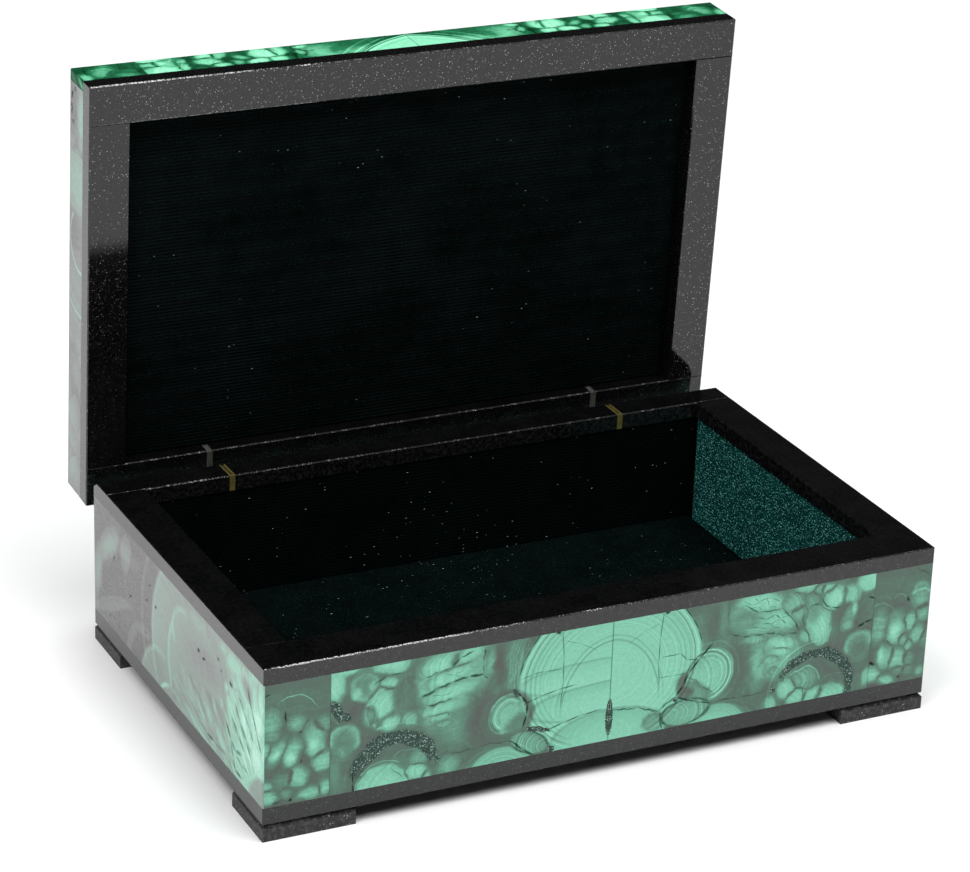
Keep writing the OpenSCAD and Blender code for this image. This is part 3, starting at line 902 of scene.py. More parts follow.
FRONT_RIGHT_NODULES = (
    haze((44.5, 27.2), (11, 7.4), -14, 0.7, 0.56, 1.4), haze((48.4, 15.6), (8.2, 7), -12, 0.64, 0.5, 1.8),
    haze((43.4, 14), (2.6, 7), 0, 0.66, 0.5, 1.4), haze((36.6, 13), (4.4, 10.4), 0, 0.16, 0.28, 1.5),
    haze((29.8, 27.6), (3, 6.6), 0, 0.18, 0.26, 1.3), haze((32.4, 28.6), (1.3, 5.6), 0, 0.46, 0.36, 0.9),
    Nodule((33, -3), (13, 8), 0, 0.5, 0.24, soft=1, outline=0, bands=10, depth=0.14, shift=(0, 0)),
    Nodule((31.6, -2.4), (8.8, 6.8), -6, 0.84, 0.74, outline=0.45, bands=14, depth=0.2, shift=(0, 0),
           still=True),
    FRONT_DOME,
    FRONT_DOME_FOOT,
    haze((24.4, 11), (5, 4.6), -40, 0.18, 0.16, 1),
    Nodule((29, 13.2), (6.9, 7.8), -25, 0.8, 0.64, soft=0.4, outline=0.6, bands=9, depth=0.14,
           shift=(0.9, 0.6), still=True, over=True),
    haze((25.6, 9.2), (4.4, 2.6), -38, 0.56, 0.44, 0.7), haze((22.6, 9.4), (1.9, 1.7), 0, 0.14, 0.16, 0.8),
    haze((13, 3), (3.2, 2.9), 20, 0.6, 0.5, 0.8),
    Nodule((22.2, 3.8), (7, 3.5), 4, 0.68, 0.6, soft=0.25, outline=0.8, bands=9, depth=0.3,
           shift=(0.75, 0), still=True, over=True),
    haze((43, 31.9), (6.6, 2.5), -10, 0.86, 0.76, 0.8), haze((48.8, 25.8), (5.4, 2.8), -22, 0.82, 0.66, 1),
    haze((39.2, 27), (3.8, 2.6), 0, 0.54, 0.46, 1.4),
    pillow((52.8, 29.8), (3.6, 3.5), 0, 0.66, 0.3), pillow((54.6, 26.2), (2.3, 3), 22, 0.62, 0.3),
    pillow((49.8, 18.8), (5, 1.9), -12, 0.86), pillow((49.6, 16.2), (3.2, 1.5), -8, 0.84),
    pillow((47, 14.2), (2.8, 1.3), -6, 0.7), pillow((48, 11), (1.6, 1), 0, 0.58),
    pillow((41.6, 21), (4.2, 1.5), -8, 0.64),
    Nodule((57.2, 19.4), (2.3, 2.1), 0, 0.68, 0.5, soft=0.8, outline=0.4),
    pillow((58.6, 29), (2.5, 3.5), 0, 0.56),
    Nodule((61.2, 21.8), (4, 6.3), 14, 0.86, 0.62, soft=0.35, over=True),
    haze((59.4, 25), (2, 2.6), 10, 0.56, 0.58, 1.1),
    pillow((65.6, 28.8), (3.9, 3.7), 0, 0.88), pillow((70.4, 28.8), (3.2, 3.3), 0, 0.76, 0.1),
    pillow((63.4, 31.8), (2.1, 1.7), 0, 0.78),
    haze((68.4, 23), (3.8, 4), 0, 0.14, 0.2, 0.9), haze((70.4, 22.8), (2, 3.4), -20, 0.56, 0.46, 0.9),
    haze((71.8, 24.8), (1, 2), -6, 0.8, 0.66, 0.5), haze((69.8, 20.4), (1.8, 1.5), 0, 0.66, 0.5, 0.7),
    pillow((57, 33.8), (4.2, 1.8), 0, 0.74), pillow((60.8, 32.4), (1.9, 1.7), 0, 0.58),
    haze((76.2, 32.8), (4.4, 3.4), 25, 0.86, 0.74, 0.7),
    Nodule((73.2, 14.4), (4.1, 3.7), 0, 0.44, 0.68, soft=0.6, outline=0.15),
    haze((74, 12), (3, 2.4), 0, 0.3, 0.3, 1.1), haze((77, 4), (1.4, 2.6), 0, 0.74, 0.6, 0.5),
    Nodule((60.4, 2.4), (9.4, 8.6), 0, 0.26, 0.18, soft=0.6, outline=0, bands=6, depth=0.06),
    Nodule((57.8, 7.2), (4, 3.4), -10, 0.6, 0.5, outline=0.5),
    pillow((52.4, 4.9), (3, 3.4), 8, 0.84), pillow((55.7, 1.9), (3.3, 2.5), 20, 0.82),
    pillow((60.6, 1.4), (3.4, 2.5), 15, 0.82), pillow((66, 0.4), (5.2, 3.8), 0, 0.84),
    pillow((47.8, 1.5), (2, 2.4), 0, 0.76),
)
FRONT_DOME_RINGS = rings_of(
    ((0, 8), (14.3, 20.4), 0.3, -0.2, (0, 1), 0.3), ((0, 8), (15.6, 21.8), 0.26, -0.12, (0, 1), 0.3),
    ((0, 19.5), (25.3, 21.7), 0.24, 0.1, (1, 0.3), 0.3),
    ((0, 19.5), (24.3, 20.9), 0.28, -0.22, (1, 0.4), 0.3),
    ((0, 19.5), (22.9, 19.5), 0.26, -0.16, (1, 0.5), 0.3),
    ((0, 19.5), (21.6, 18.2), 0.24, -0.12, (1, 0.5), 0.4),
    ((0, 19.5), (20.2, 16.8), 0.22, -0.1, (1, 0.6), 0.5),
    still=True,
)
FRONT_LEFT_RINGS = FRONT_DOME_RINGS + rings_of(
    ((29.2, 13.2), (4.9, 5.6), 0.26, 0.3, (1, 0.1), -0.1, 30),
    ((29.1, 13.2), (4.2, 4.9), 0.22, -0.2, (1, 0.1), -0.1, 30),
    ((29, 13.2), (3.4, 4.1), 0.24, 0.24, (1, 0.1), 0, 30),
    ((29, 13.2), (2.2, 3), 0.24, -0.14, (1, 0.1), 0.2, 30), ((30.5, -5), (10.8, 10.1), 0.2, 0.14),
    ((30.5, -5), (8.4, 7.9), 0.2, 0.1), ((62.9, -0.6), (7.7, 7.4), 0.24, 0.32, (1, 0.6), 0.1),
    still=True,
) + rings_of(
    ((56, 6.4), (4.6, 2.6), 0.2, 0.26, (-0.1, 1), 0.4), ((59.6, 2), (14, 15), 0.3, 0.08, (0.5, 1), 0.7),
    ((68.4, 28), (5, 4.6), 0.25, 0.08),
)
FRONT_RIGHT_RINGS = FRONT_DOME_RINGS + rings_of(
    ((28.2, 13.4), (6.9, 7.1), 0.26, 0.3, (1, 0.3), 0.1),
    ((28.2, 13.4), (6.3, 6.5), 0.2, -0.2, (1, 0.3), 0.1),
    ((28.2, 13.4), (5.7, 5.9), 0.22, 0.22, (1, 0.3), 0.15),
    ((28.2, 13.4), (4.5, 4.7), 0.22, 0.14, (1, 0.3), 0.2),
    ((60.4, 2.4), (13.8, 14.6), 0.26, 0.2, (-0.72, 0.7), 0.86),
    still=True,
) + rings_of(
    ((28.6, 13.4), (9, 9.4), 0.4, 0.1, (1, 0.4), 0.3),
    ((57.6, 6.6), (4.6, 3.5), 0.2, 0.34, (0.4, 1), 0.3),
    ((66.5, 2), (6.4, 4.6), 0.22, 0.24, (1, 0.6), 0.3),
)
FRONT_DOME_CRACKS = cracks_of(
    (0.17, 0.8, (14.5, 33.8), (13.7, 26), (13.6, 19), (14.2, 12.5)),
    (0.13, 0.5, (14, 31), (9, 29.2), (4.6, 26.6)),
    (0.22, 0.85, (20.2, 34.2), (23, 30.6), (25, 26.8), (26, 23.2)), (0.7, 1, (16.4, 34.2), (14.9, 33.2)),
    still=True,
)
FRONT_LEFT_CRACKS = FRONT_DOME_CRACKS + cracks_of(
    (0.32, 0.95, (24.6, 8.4), (23.7, 12), (23.5, 15.1), (25.2, 17.4), (26.8, 19.2)),
    (0.22, 0.8, (24.6, 14.9), (22, 15.7), (20.2, 16.4), (15, 17.3), (10, 17.9)),
    (0.2, 0.65, (25.2, 22.3), (22.4, 23), (19, 23.3), (14, 23.2)),
    (0.22, 0.9, (17.5, 6.4), (13, 7.7), (8, 8.8), (2, 9.4)),
    still=True,
) + cracks_of(
    (0.26, 0.85, (52.2, 28.2), (48, 29), (45, 30), (43, 31.8), (39, 33)),
    (0.46, 0.85, (53.4, 22.4), (49, 24.3), (45, 25.4), (40, 25.9), (36.4, 25.8)),
    (0.24, 0.8, (52.4, 20), (46, 20.5), (44.4, 20.4)),
    (0.24, 0.65, (36.2, 33.8), (36.6, 29), (36.2, 25.8), (34.6, 24.5)),
    (0.2, 0.6, (49.6, 16.6), (46, 17), (45.4, 16)), (0.12, 0.6, (47.6, 28.2), (44.6, 27.4), (41.4, 28.6)),
    (0.1, 0.55, (44.6, 27.4), (42.8, 26.4)), (0.12, 0.6, (41.2, 31), (40, 29), (38, 28.2)),
    (0.12, 0.5, (50.6, 22.6), (47.4, 21.8), (44.2, 22.4)),
    (0.36, 0.9, (28.6, 5.6), (24.6, 2.2), (21, 0.2)), (0.26, 0.5, (47, 5.6), (37, 5.8), (28.6, 5.6)),
    (0.3, 0.65, (58, 31), (62, 30.4), (66, 28.6)), (0.2, 0.6, (60.6, 4.6), (57.4, 1)),
    (0.34, 0.85, (71, 6.2), (71.4, 2), (71.2, -1)),
)
FRONT_RIGHT_CRACKS = FRONT_DOME_CRACKS + cracks_of(
    (0.34, 1, (29.2, 22.2), (25.8, 18.6), (22.6, 14.8), (21.4, 11.6), (19.4, 9)),
    (0.2, 0.75, (14.5, 21), (20, 21), (22, 18.9), (25.6, 18.3)),
    (0.16, 0.6, (13.6, 15.2), (18, 14.9), (22.2, 15)),
    still=True,
) + cracks_of(
    (0.3, 0.85, (19.4, 9), (14.8, 5.8), (15.6, 0)), (0.26, 0.85, (0, 8.7), (8.4, 7.8), (14.8, 5.8)),
    (0.18, 0.6, (22.6, 14), (27, 11), (31, 7)), (0.3, 0.85, (19.6, 8.8), (26, 5.8), (30, 5)),
    (0.24, 0.6, (25, 0.2), (30.4, 5), (38, 5.4), (46, 5.4)), (0.24, 0.5, (33.9, 33.6), (33.8, 28)),
    (0.24, 0.65, (34, 24), (37.6, 22.6), (41, 22), (44.6, 22.2), (48, 21.6), (52, 20.6), (55.6, 20.4)),
    (0.24, 0.8, (38, 31.6), (43, 28.8), (49.6, 28.6), (53, 24.4), (55.6, 21)),
    (0.3, 0.85, (61.4, 29.4), (64, 26.2), (66.6, 26)),
    (0.13, 0.75, (38, 32.8), (40.5, 31.2), (43.2, 31.8)),
    (0.13, 0.75, (41, 33.4), (42.6, 32), (46, 32.3), (48.6, 31.4)),
    (0.13, 0.7, (44.6, 32.2), (45.4, 30.4), (47.8, 29.6)),
    (0.11, 0.65, (40.2, 30.2), (42.4, 30.6), (43.4, 29.4)),
    (0.15, 0.75, (42.6, 27.4), (45, 26.6), (47.4, 27.2), (49, 26)),
    (0.15, 0.8, (44, 25.4), (46.4, 25), (48.6, 25.6), (51, 24.2)),
    (0.13, 0.75, (46.4, 25), (47.2, 23.6), (49.4, 23)), (0.13, 0.7, (49, 26), (51.4, 26.2), (52.6, 25)),
    (0.15, 0.65, (40, 24.4), (43, 24.2), (45.4, 23.2)), (0.2, 0.6, (55.8, 26.4), (57, 22)),
    (0.34, 0.95, (72.8, 19.4), (75.4, 20.2), (77.4, 20.2)), (0.34, 0.95, (76, 27.6), (77.4, 26.6)),
    (0.22, 0.8, (54.4, 4.6), (57.4, 4.2), (57.8, 0.4)), (0.5, 0.35, (46.2, 15), (43, 12.4)),
)
SEAM_POCKET = Pocket((0, 6.6), (1.35, 6.4), still=True)
FRONT_LEFT_POCKETS = pockets_of(
    ((75.9, 23.4), (1.7, 3.8), -14), ((73.6, 21.4), (2.2, 1.2), 30), ((27, 18.9), (0.75, 1.7), -41),
    ((20.4, 7.2), (4.2, 0.9), 14), ((16.4, 1.2), (1.3, 1.4)),
) + (SEAM_POCKET,)
FRONT_RIGHT_POCKETS = pockets_of(
    ((19.4, 8), (1.3, 0.8), -20), ((48, 5.4), (1.3, 0.9), -30),
) + (SEAM_POCKET,)
FRONT_LEFT_ARCS = (Ring((59.8, 1.4), (11, 11.4), 2.8, 1, (0, 1), 0.75, fade=0.9),)
FRONT_RIGHT_ARCS = (Ring((60.4, 2.6), (11.2, 11), 2.1, 0.82, (0.45, 1), 0.75, fade=1.2),)
# Upright fingers of the left and right corner pieces, in mm from the piece's left edge
CORNER_LEFT_NODULES = (
    Nodule((9, 30), (14, 5), 0, 0.26, 0.18, soft=2, outline=0, depth=0.05),
    finger((2.1, 23.4), (2.5, 4.6), 0, 0.7), finger((8.9, 22.7), (2.4, 2.3), 0, 0.72),
    finger((15.6, 21.2), (2.4, 2.6), 0, 0.62, 0.2), finger((13.6, 17.1), (2.7, 5.2), 10, 0.8, 0.25),
    finger((15.8, 10.4), (2.5, 2.8), 0, 0.88, 0.2), finger((0.4, 16.2), (1.6, 2.6), -15, 0.8),
    finger((3.8, 15.4), (1.8, 3.9), -30, 0.8), finger((7.8, 14.6), (2.1, 4.3), -16, 0.86),
    finger((5.6, 7.4), (2.6, 2.5), 0, 0.48, 0.1), finger((9.3, 7.6), (2.7, 3), 0, 0.88),
    finger((1, 6), (1.7, 1.5), 0, 0.78), finger((1.3, 2.9), (2.4, 2), 0, 0.88),
    finger((6.2, 3.6), (1.6, 1.4), 0, 0.56, 0.1), finger((12.3, 2.3), (3.2, 1.8), 12, 0.86),
    finger((16.5, 3.4), (1.8, 2.2), 0, 0.86),
    haze((3.2, 14.4), (1.1, 1.7), -30, 0.92, 0.8, 0.8),
    haze((7.2, 12.9), (1.4, 1.7), -12, 0.96, 0.84, 0.9), haze((13.1, 15.4), (1.5, 2), 8, 0.92, 0.8, 0.9),
)
CORNER_LEFT_RINGS = rings_of(
    ((8.2, 23.5), (6.6, 6.4), 0.22, 0.42, (0.05, 1), 0.8, -12),
    ((2.2, 25.2), (2, 2), 0.3, 0.1, (0, 1), 0.4),
)
CORNER_LEFT_CRACKS = cracks_of(
    (0.34, 0.9, (5.7, 26), (5.9, 22.6)), (0.3, 0.85, (10.6, 19.7), (9.7, 19.8)),
    (0.26, 0.5, (11, 21.2), (12.1, 22.6)), (0.3, 0.8, (10.1, 11.9), (9.9, 11.2)),
    (0.4, 0.95, (7.9, 1.5), (6.7, 1.1)), (0.3, 0.8, (0, 30.2), (2, 31.2)), (0.3, 0.7, (2, 0.8), (4.2, 1)),
)
CORNER_RIGHT_NODULES = (
    Nodule((8, 30), (13, 5), 0, 0.25, 0.18, soft=2, outline=0, depth=0.05),
    finger((14.6, 25.4), (2.9, 4.7), 0, 0.66), finger((15.3, 20), (2.3, 2.9), 0, 0.7),
    finger((2.1, 18.2), (2.4, 5), -6, 0.7), finger((7.5, 16.6), (2.9, 5), -6, 0.86),
    finger((11.9, 17.8), (1.9, 2.6), -8, 0.84), finger((9.9, 12.9), (1.6, 1.7), 0, 0.7),
    finger((14.2, 13.8), (2.2, 2.7), 12, 0.8), finger((12, 11), (1.5, 1.8), 0, 0.74),
    finger((16.8, 12), (1.4, 2.4), 0, 0.52, 0.1), finger((4.8, 8.8), (2.7, 3.6), 4, 0.8),
    finger((8.6, 7.7), (3, 3.2), 0, 0.84), finger((12, 7), (1.9, 2), 0, 0.56, 0.2),
    finger((1, 4), (2.6, 2.3), 0, 0.9), finger((5.6, 1.8), (3, 1.6), -14, 0.86),
    finger((9.3, 3.8), (1.7, 1.2), 0, 0.54, 0.1), finger((12.2, 3.6), (1.7, 1.5), 0, 0.5, 0.1),
    finger((15.9, 2.9), (1.5, 1.5), 0, 0.7, 0.15),
    haze((7.4, 16.2), (1.6, 2.3), -24, 0.94, 0.84, 0.9), haze((7, 20), (1.6, 0.9), 0, 0.5, 0.54, 0.8),
    haze((3.5, 9.4), (0.9, 2.4), 4, 0.9, 0.8, 0.6),
)
CORNER_RIGHT_RINGS = rings_of(
    ((14.6, 24.4), (2.6, 2.8), 0.5, 0.2, (0, 1), 0.5), ((14.6, 24.4), (2.8, 4.4), 0.5, 0.14, (0, 1), 0.5),
    ((8.2, 24.4), (2.2, 2), 0.22, 0.2, (0, 1), 0.5), ((2, 12), (8, 12), 0.22, 0.2, (0, 1), 0.9),
)
CORNER_RIGHT_CRACKS = cracks_of(
    (0.36, 0.95, (10.7, 25.2), (11.1, 23.8)), (0.36, 0.85, (4.7, 13.3), (6, 12.6)),
    (0.55, 0.95, (0, 7.4), (1.7, 6.7)), (0.4, 0.9, (9.2, 1.6), (10.2, 1.4)),
    (0.22, 0.6, (12.6, 33.6), (17.4, 29.9)),
)
# Arcs and streaks of the left end, in mm from its back edge
LEFT_NODULES = (
    haze((24, 17), (40, 36), 0, 0, 0.1, 6), haze((12, 24.5), (8, 3.4), 38, 0.34, 0.16, 2.6),
    haze((3.6, 14), (2.4, 6.5), -8, 0.3, 0.14, 2), haze((14, 7.5), (11, 1.4), 24, 0.18, 0.06, 1.4),
    haze((25, 27), (3, 5), -15, 0.22, 0.1, 2.4),
    Nodule((75, 15), (30.5, 30), 0, 0.3, 0.46, soft=0.7, outline=0, bands=14, depth=0.1, still=True),
    Nodule((50, -4), (13.5, 14), 0, 0.36, 0.42, soft=0.7, outline=0, bands=9, depth=0.1, still=True),
    Nodule((76, 14.5), (19.5, 17.5), 0, 0.34, 0.48, soft=0.9, outline=0, bands=10, depth=0.1, still=True),
    haze((82, 21), (16, 6), 0, 0.26, 0.34, 5), haze((78, 31), (8, 3), 4, 0.46, 0.32, 2.4),
    Nodule((86, 4), (27, 11), 0, 0.52, 0.42, soft=4, outline=0, bands=1.2, depth=0.03, shift=(-0.9, 0.55)),
    haze((53.8, 1.8), (4.6, 0.8), 28, 0.84, 0.6, 0.5), haze((67.6, 12), (4.6, 1.5), -38, 0.5, 0.4, 1.2),
    haze((73.6, 9.8), (5.4, 1.6), -38, 0.56, 0.42, 1.2), haze((80, 7.6), (6, 1.6), -38, 0.62, 0.46, 1.2),
    haze((85.6, 9), (3.6, 1.7), -40, 0.64, 0.48, 1), haze((89.8, 12.8), (3.4, 1.3), -60, 0.62, 0.46, 0.9),
    haze((94, 5.4), (5.6, 1.8), -26, 0.72, 0.56, 1), haze((94, 16.2), (2.4, 1.2), -55, 0.58, 0.44, 0.9),
    haze((97.2, 22), (1.6, 1.4), 0, 0.8, 0.5, 0.8), haze((102.5, 30.5), (6.8, 3.8), 0, 0.74, 0.54, 1.8),
    haze((95, 32), (3, 1.6), 0, 0.62, 0.46, 1),
    Nodule((119, 14), (22, 22), 0, 0.86, 0.7, soft=3.4, outline=0, bands=1.6, depth=0.03, shift=(-0.1, 0.7)),
    haze((117.5, 22), (3.4, 4.2), -50, 1, 0.86, 1.2), haze((109, 18), (3.6, 1.8), -50, 1, 0.86, 1),
    haze((117, 12), (4.4, 4), -40, 1, 0.9, 2), haze((104, 23), (2.2, 1.6), 0, 0.7, 0.56, 0.8),
    haze((110.5, 28), (3.4, 2.4), -40, 0.34, 0.38, 1.2),
    Nodule((121, 1.2), (9.5, 6.4), 25, 0.42, 0.5, soft=1, outline=0, bands=10, depth=0.12),
)
LEFT_RINGS = rings_of(
    ((23.8, 4.6), (23, 23), 3.6, 0.11, (-1, 0.45), 0.25, 0, 0.6),
    ((67, 17), (30, 30), 1.5, 0.11, (-1, 0.3), 0.85, 0, 0.15),
    ((75, 15), (30.5, 30), 1.3, 0.13, (-1, 0.25), 0.8, 0, 0.2),
    ((50, -4), (13.5, 14), 1.3, 0.12, (-1, 0.7), 0.5), ((40, -2), (13, 13), 2.4, 0.13, (-1, 0.7), 0.6),
    ((67, 22.3), (7.2, 7), 1.1, 0.18, (-1, 0.8), 0.55, 0, 0.4),
    ((74.5, 13), (18, 18), 1.1, 0.2, (-1, 0), 0.9, 0, 0.08),
    still=True,
)
LEFT_CRACKS = cracks_of(
    (0.62, 0.7, (110.6, 28.4), (113.6, 23.4), (117, 18.4), (119.8, 14.6)),
    (0.5, 0.6, (104.6, 23.2), (108.6, 21), (112, 17.6), (114.4, 15.2)),
    (0.6, 0.65, (102.6, 20.4), (106, 16.6), (110, 13.2), (113.2, 10.4)),
    (0.45, 0.5, (106.6, 16.4), (110.6, 13.8), (114, 11.6)),
    (0.6, 0.65, (100.6, 15.6), (104.6, 12.4), (109, 10)),
    (0.7, 0.65, (96.6, 12.6), (100, 8.8), (103, 7.2), (107.4, 8.2)),
    (0.6, 0.65, (99.6, 8.4), (101.8, 4.6), (102.8, 1.8), (107.4, 1.4)),
    (0.5, 0.55, (103.6, 6.2), (107, 5.2), (111, 5)), (0.5, 0.45, (77.4, 3.5), (84, 2.8)),
    (0.5, 0.9, (84, 2.8), (88.6, 2.5)), (0.5, 0.45, (88.6, 2.5), (97, 3)),
    (1.3, 0.22, (71, 14), (77.6, 10.2), (84, 6.6)), (1.4, 0.25, (82, 15), (92, 7.4)),
    (1.2, 0.3, (88, 15.2), (97, 8.8)), (0.8, 0.35, (95.6, 17.4), (99.4, 12.6)),
    still=True,
)
LEFT_POCKETS = pockets_of(
    ((28.7, 16.3), (1, 0.55), 20), ((15.8, 22.4), (0.6, 0.9)), ((43, 25.8), (0.9, 0.4), 30),
    ((47.4, 21.5), (1.1, 0.4), 30), ((41, 20.6), (0.8, 0.35), 20), ((40, 10.8), (0.7, 0.4), 20),
    ((81.6, 22.8), (1.3, 0.5), 5), ((78, 23.4), (0.8, 0.7)), ((93.6, 24.9), (0.7, 0.5)),
    ((91.8, 27.6), (0.6, 0.6)), ((100, 24), (1.2, 0.6), -25), ((12.8, 3.6), (0.8, 0.4), 20),
)
# The lid's front edge, in mm from the middle seam and above the black strip
LID_EDGE_EYE = (-9.2, -26.3)
LID_EDGE_NODULES = (
    haze((26, 3.4), (8, 6.6), 30, 0.72, 0.5, 2.2), haze((18, 3), (8, 4.4), 20, 0.66, 0.5, 1.8),
    haze((15, 8.6), (9, 2.4), -32, 0.34, 0.36, 1.4), haze((69, 5), (3.2, 6), 0, 0.74, 0.66, 1),
    haze((67.8, 5), (0.9, 5), 4, 0.42, 0.46, 0.8),
    pillow((72.6, 1.8), (5.8, 2.9), 0, 0.94), pillow((75, 6.4), (3.4, 1.9), 0, 0.78),
    pillow((71.6, 6.6), (2.6, 2), 0, 0.9, 0.2), pillow((74, 9.8), (5, 1.5), 0, 0.9),
    pillow((66.2, 2.6), (1.9, 2.6), 0, 0.8), pillow((66, 6.8), (1.6, 2), 0, 0.74, 0.4),
    pillow((59.2, 8.4), (2.9, 2), -10, 0.9), pillow((59, 4.6), (4, 2.8), 8, 0.82, 0.4),
    pillow((56.8, 1.4), (2.8, 1.7), 20, 0.86, 0.5), pillow((55.2, 8.6), (2.4, 2.4), 0, 0.76, 0.4),
    pillow((49.4, 5.6), (2.6, 1.8), 24, 0.7), pillow((51.6, 2), (1.9, 1.6), 40, 0.66),
    pillow((43, 6.8), (3.8, 4), 0, 0.96), pillow((38.6, 7.2), (2.8, 3.6), 0, 0.88, 0.3),
    pillow((45.6, 1.6), (3.6, 1.8), 6, 0.94), pillow((40.2, 1.8), (3, 1.9), 0, 0.9, 0.5),
    haze((33.4, 4.6), (1.3, 1.7), 0, 0.72, 0.6, 0.5), haze((31.4, 8.6), (2.6, 1.2), -24, 0.86, 0.7, 0.5),
    Nodule(LID_EDGE_EYE, (36.8, 36.8), 0, 0.93, 0.92, soft=0.3, outline=0.8, bands=40, depth=0.05,
           still=True, over=True),
)
LID_EDGE_RINGS = tuple(
    Ring(LID_EDGE_EYE, (reach, reach), width, strength, still=True) for reach, width, strength in (
        (36, 0.3, -0.45), (35.2, 0.3, 0.1), (34, 0.3, -0.12), (38.4, 0.5, 0.2), (41, 0.5, 0.14))
)
LID_EDGE_CRACKS = cracks_of(
    (0.5, 0.85, (77.6, 5.2), (74.6, 4.5), (72, 4.3)), (0.42, 0.8, (77.4, 8.3), (72, 8.4), (68.6, 9.4)),
    (0.5, 0.8, (62.6, 3.6), (59.6, 2.4), (57.6, 0.2)),
    (0.34, 0.7, (60.6, 6.9), (58.6, 6.2), (57.6, 7.4), (56.4, 9.8)),
    (0.36, 0.8, (49.6, 2.4), (45.6, 4), (42, 3.2), (37.6, 3.7)), (0.5, 0.6, (40.4, 10), (38.6, 7.4)),
    (0.5, 0.95, (35.8, 0), (34.6, 5), (34.2, 10)),
    (0.5, 0.9, (34.4, 8.4), (32, 5.4), (31.4, 3.4), (33.2, 1.4)),
    (0.5, 0.85, (32.4, 6), (30.2, 4.9), (28.4, 5.1)), (0.6, 0.8, (26, 10.2), (24.6, 8.8)),
    (0.6, 0.75, (65, 10), (64.2, 5), (64.6, 0)), (0.3, 0.5, (21, 8.4), (20.6, 6)),
    (0.3, 0.5, (19.6, 2.6), (17.4, 3.6)),
)
LID_CORNER_NODULES = (
    haze((1.2, 2), (2.2, 3), 0, 0.72, 0.5, 0.8),
    Nodule((6.7, 5.2), (4.9, 2.7), 58, 0.64, 0.5, soft=0.6, outline=0.3),
    Nodule((12.8, 1.2), (3.4, 2.2), 0, 0.56, 0.42, soft=0.7, outline=0.2),
    haze((14, 4.6), (2, 1.2), 0, 0.4, 0.34, 0.7),
)
LID_CORNER_CRACKS = cracks_of(
    (0.5, 0.7, (4.6, -0.4), (7, 2), (9.8, 5.2)), (0.6, 0.6, (2.4, 4), (3, 8.6)),
    (0.6, 0.5, (16.6, 0), (16.4, 10)),
)
LID_LEFT_NODULES = (
    haze((9, 7.5), (9, 3.2), 0, 0.08, 0.1, 1.4), haze((11, 1.8), (9, 2.6), 0, 0.6, 0.46, 1.2),
    haze((30, 4), (8.8, 9), -8, 0.56, 0.46, 1.2), haze((45, 6), (6, 6), 0, 0.1, 0.16, 2),
    haze((62, 4), (12, 12), 0, 0.32, 0.24, 2),
)
LID_LEFT_RINGS = rings_of(
    ((45.6, 1), (9, 8), 0.6, 0.3, (0.8, 1), 0.3), ((60, 1), (7, 12), 0.7, 0.2, (1, 0.2), 0.4),
    still=True,
)
LID_LEFT_CRACKS = (Crack(((21.6, -2), (21.6, 12)), 0.2, 0.4, still=True),)
LID_LEFT_POCKETS = pockets_of(
    ((6.4, 8.6), (1.6, 0.8), 10), ((10.6, 8.8), (1.9, 0.7)), ((14, 7.6), (0.9, 0.6)),
    ((4.8, 6.2), (0.9, 0.6)),
)
SATURATED = Palette((0.004, 0.042, 0.017), (0.005, 0.072, 0.028), (0.022, 0.205, 0.090),
                    (0.205, 0.690, 0.415), (0.390, 0.930, 0.640), (0.001, 0.013, 0.005))
HAZY = Palette((0.084, 0.078, 0.083), (0.172, 0.187, 0.180), (0.222, 0.340, 0.285),
               (0.275, 0.640, 0.475), (0.460, 0.830, 0.680), (0.020, 0.030, 0.026))
SHADED = Palette((0.002, 0.020, 0.009), (0.003, 0.036, 0.014), (0.012, 0.100, 0.045),
                 (0.060, 0.270, 0.150), (0.110, 0.400, 0.250), (0.001, 0.010, 0.004))
DULL_GROUND = Ground(dull=0.06, bright=0.22)
END_TO_FRONT = (-BACK_Y / MM, FACING_FOOT / MM)


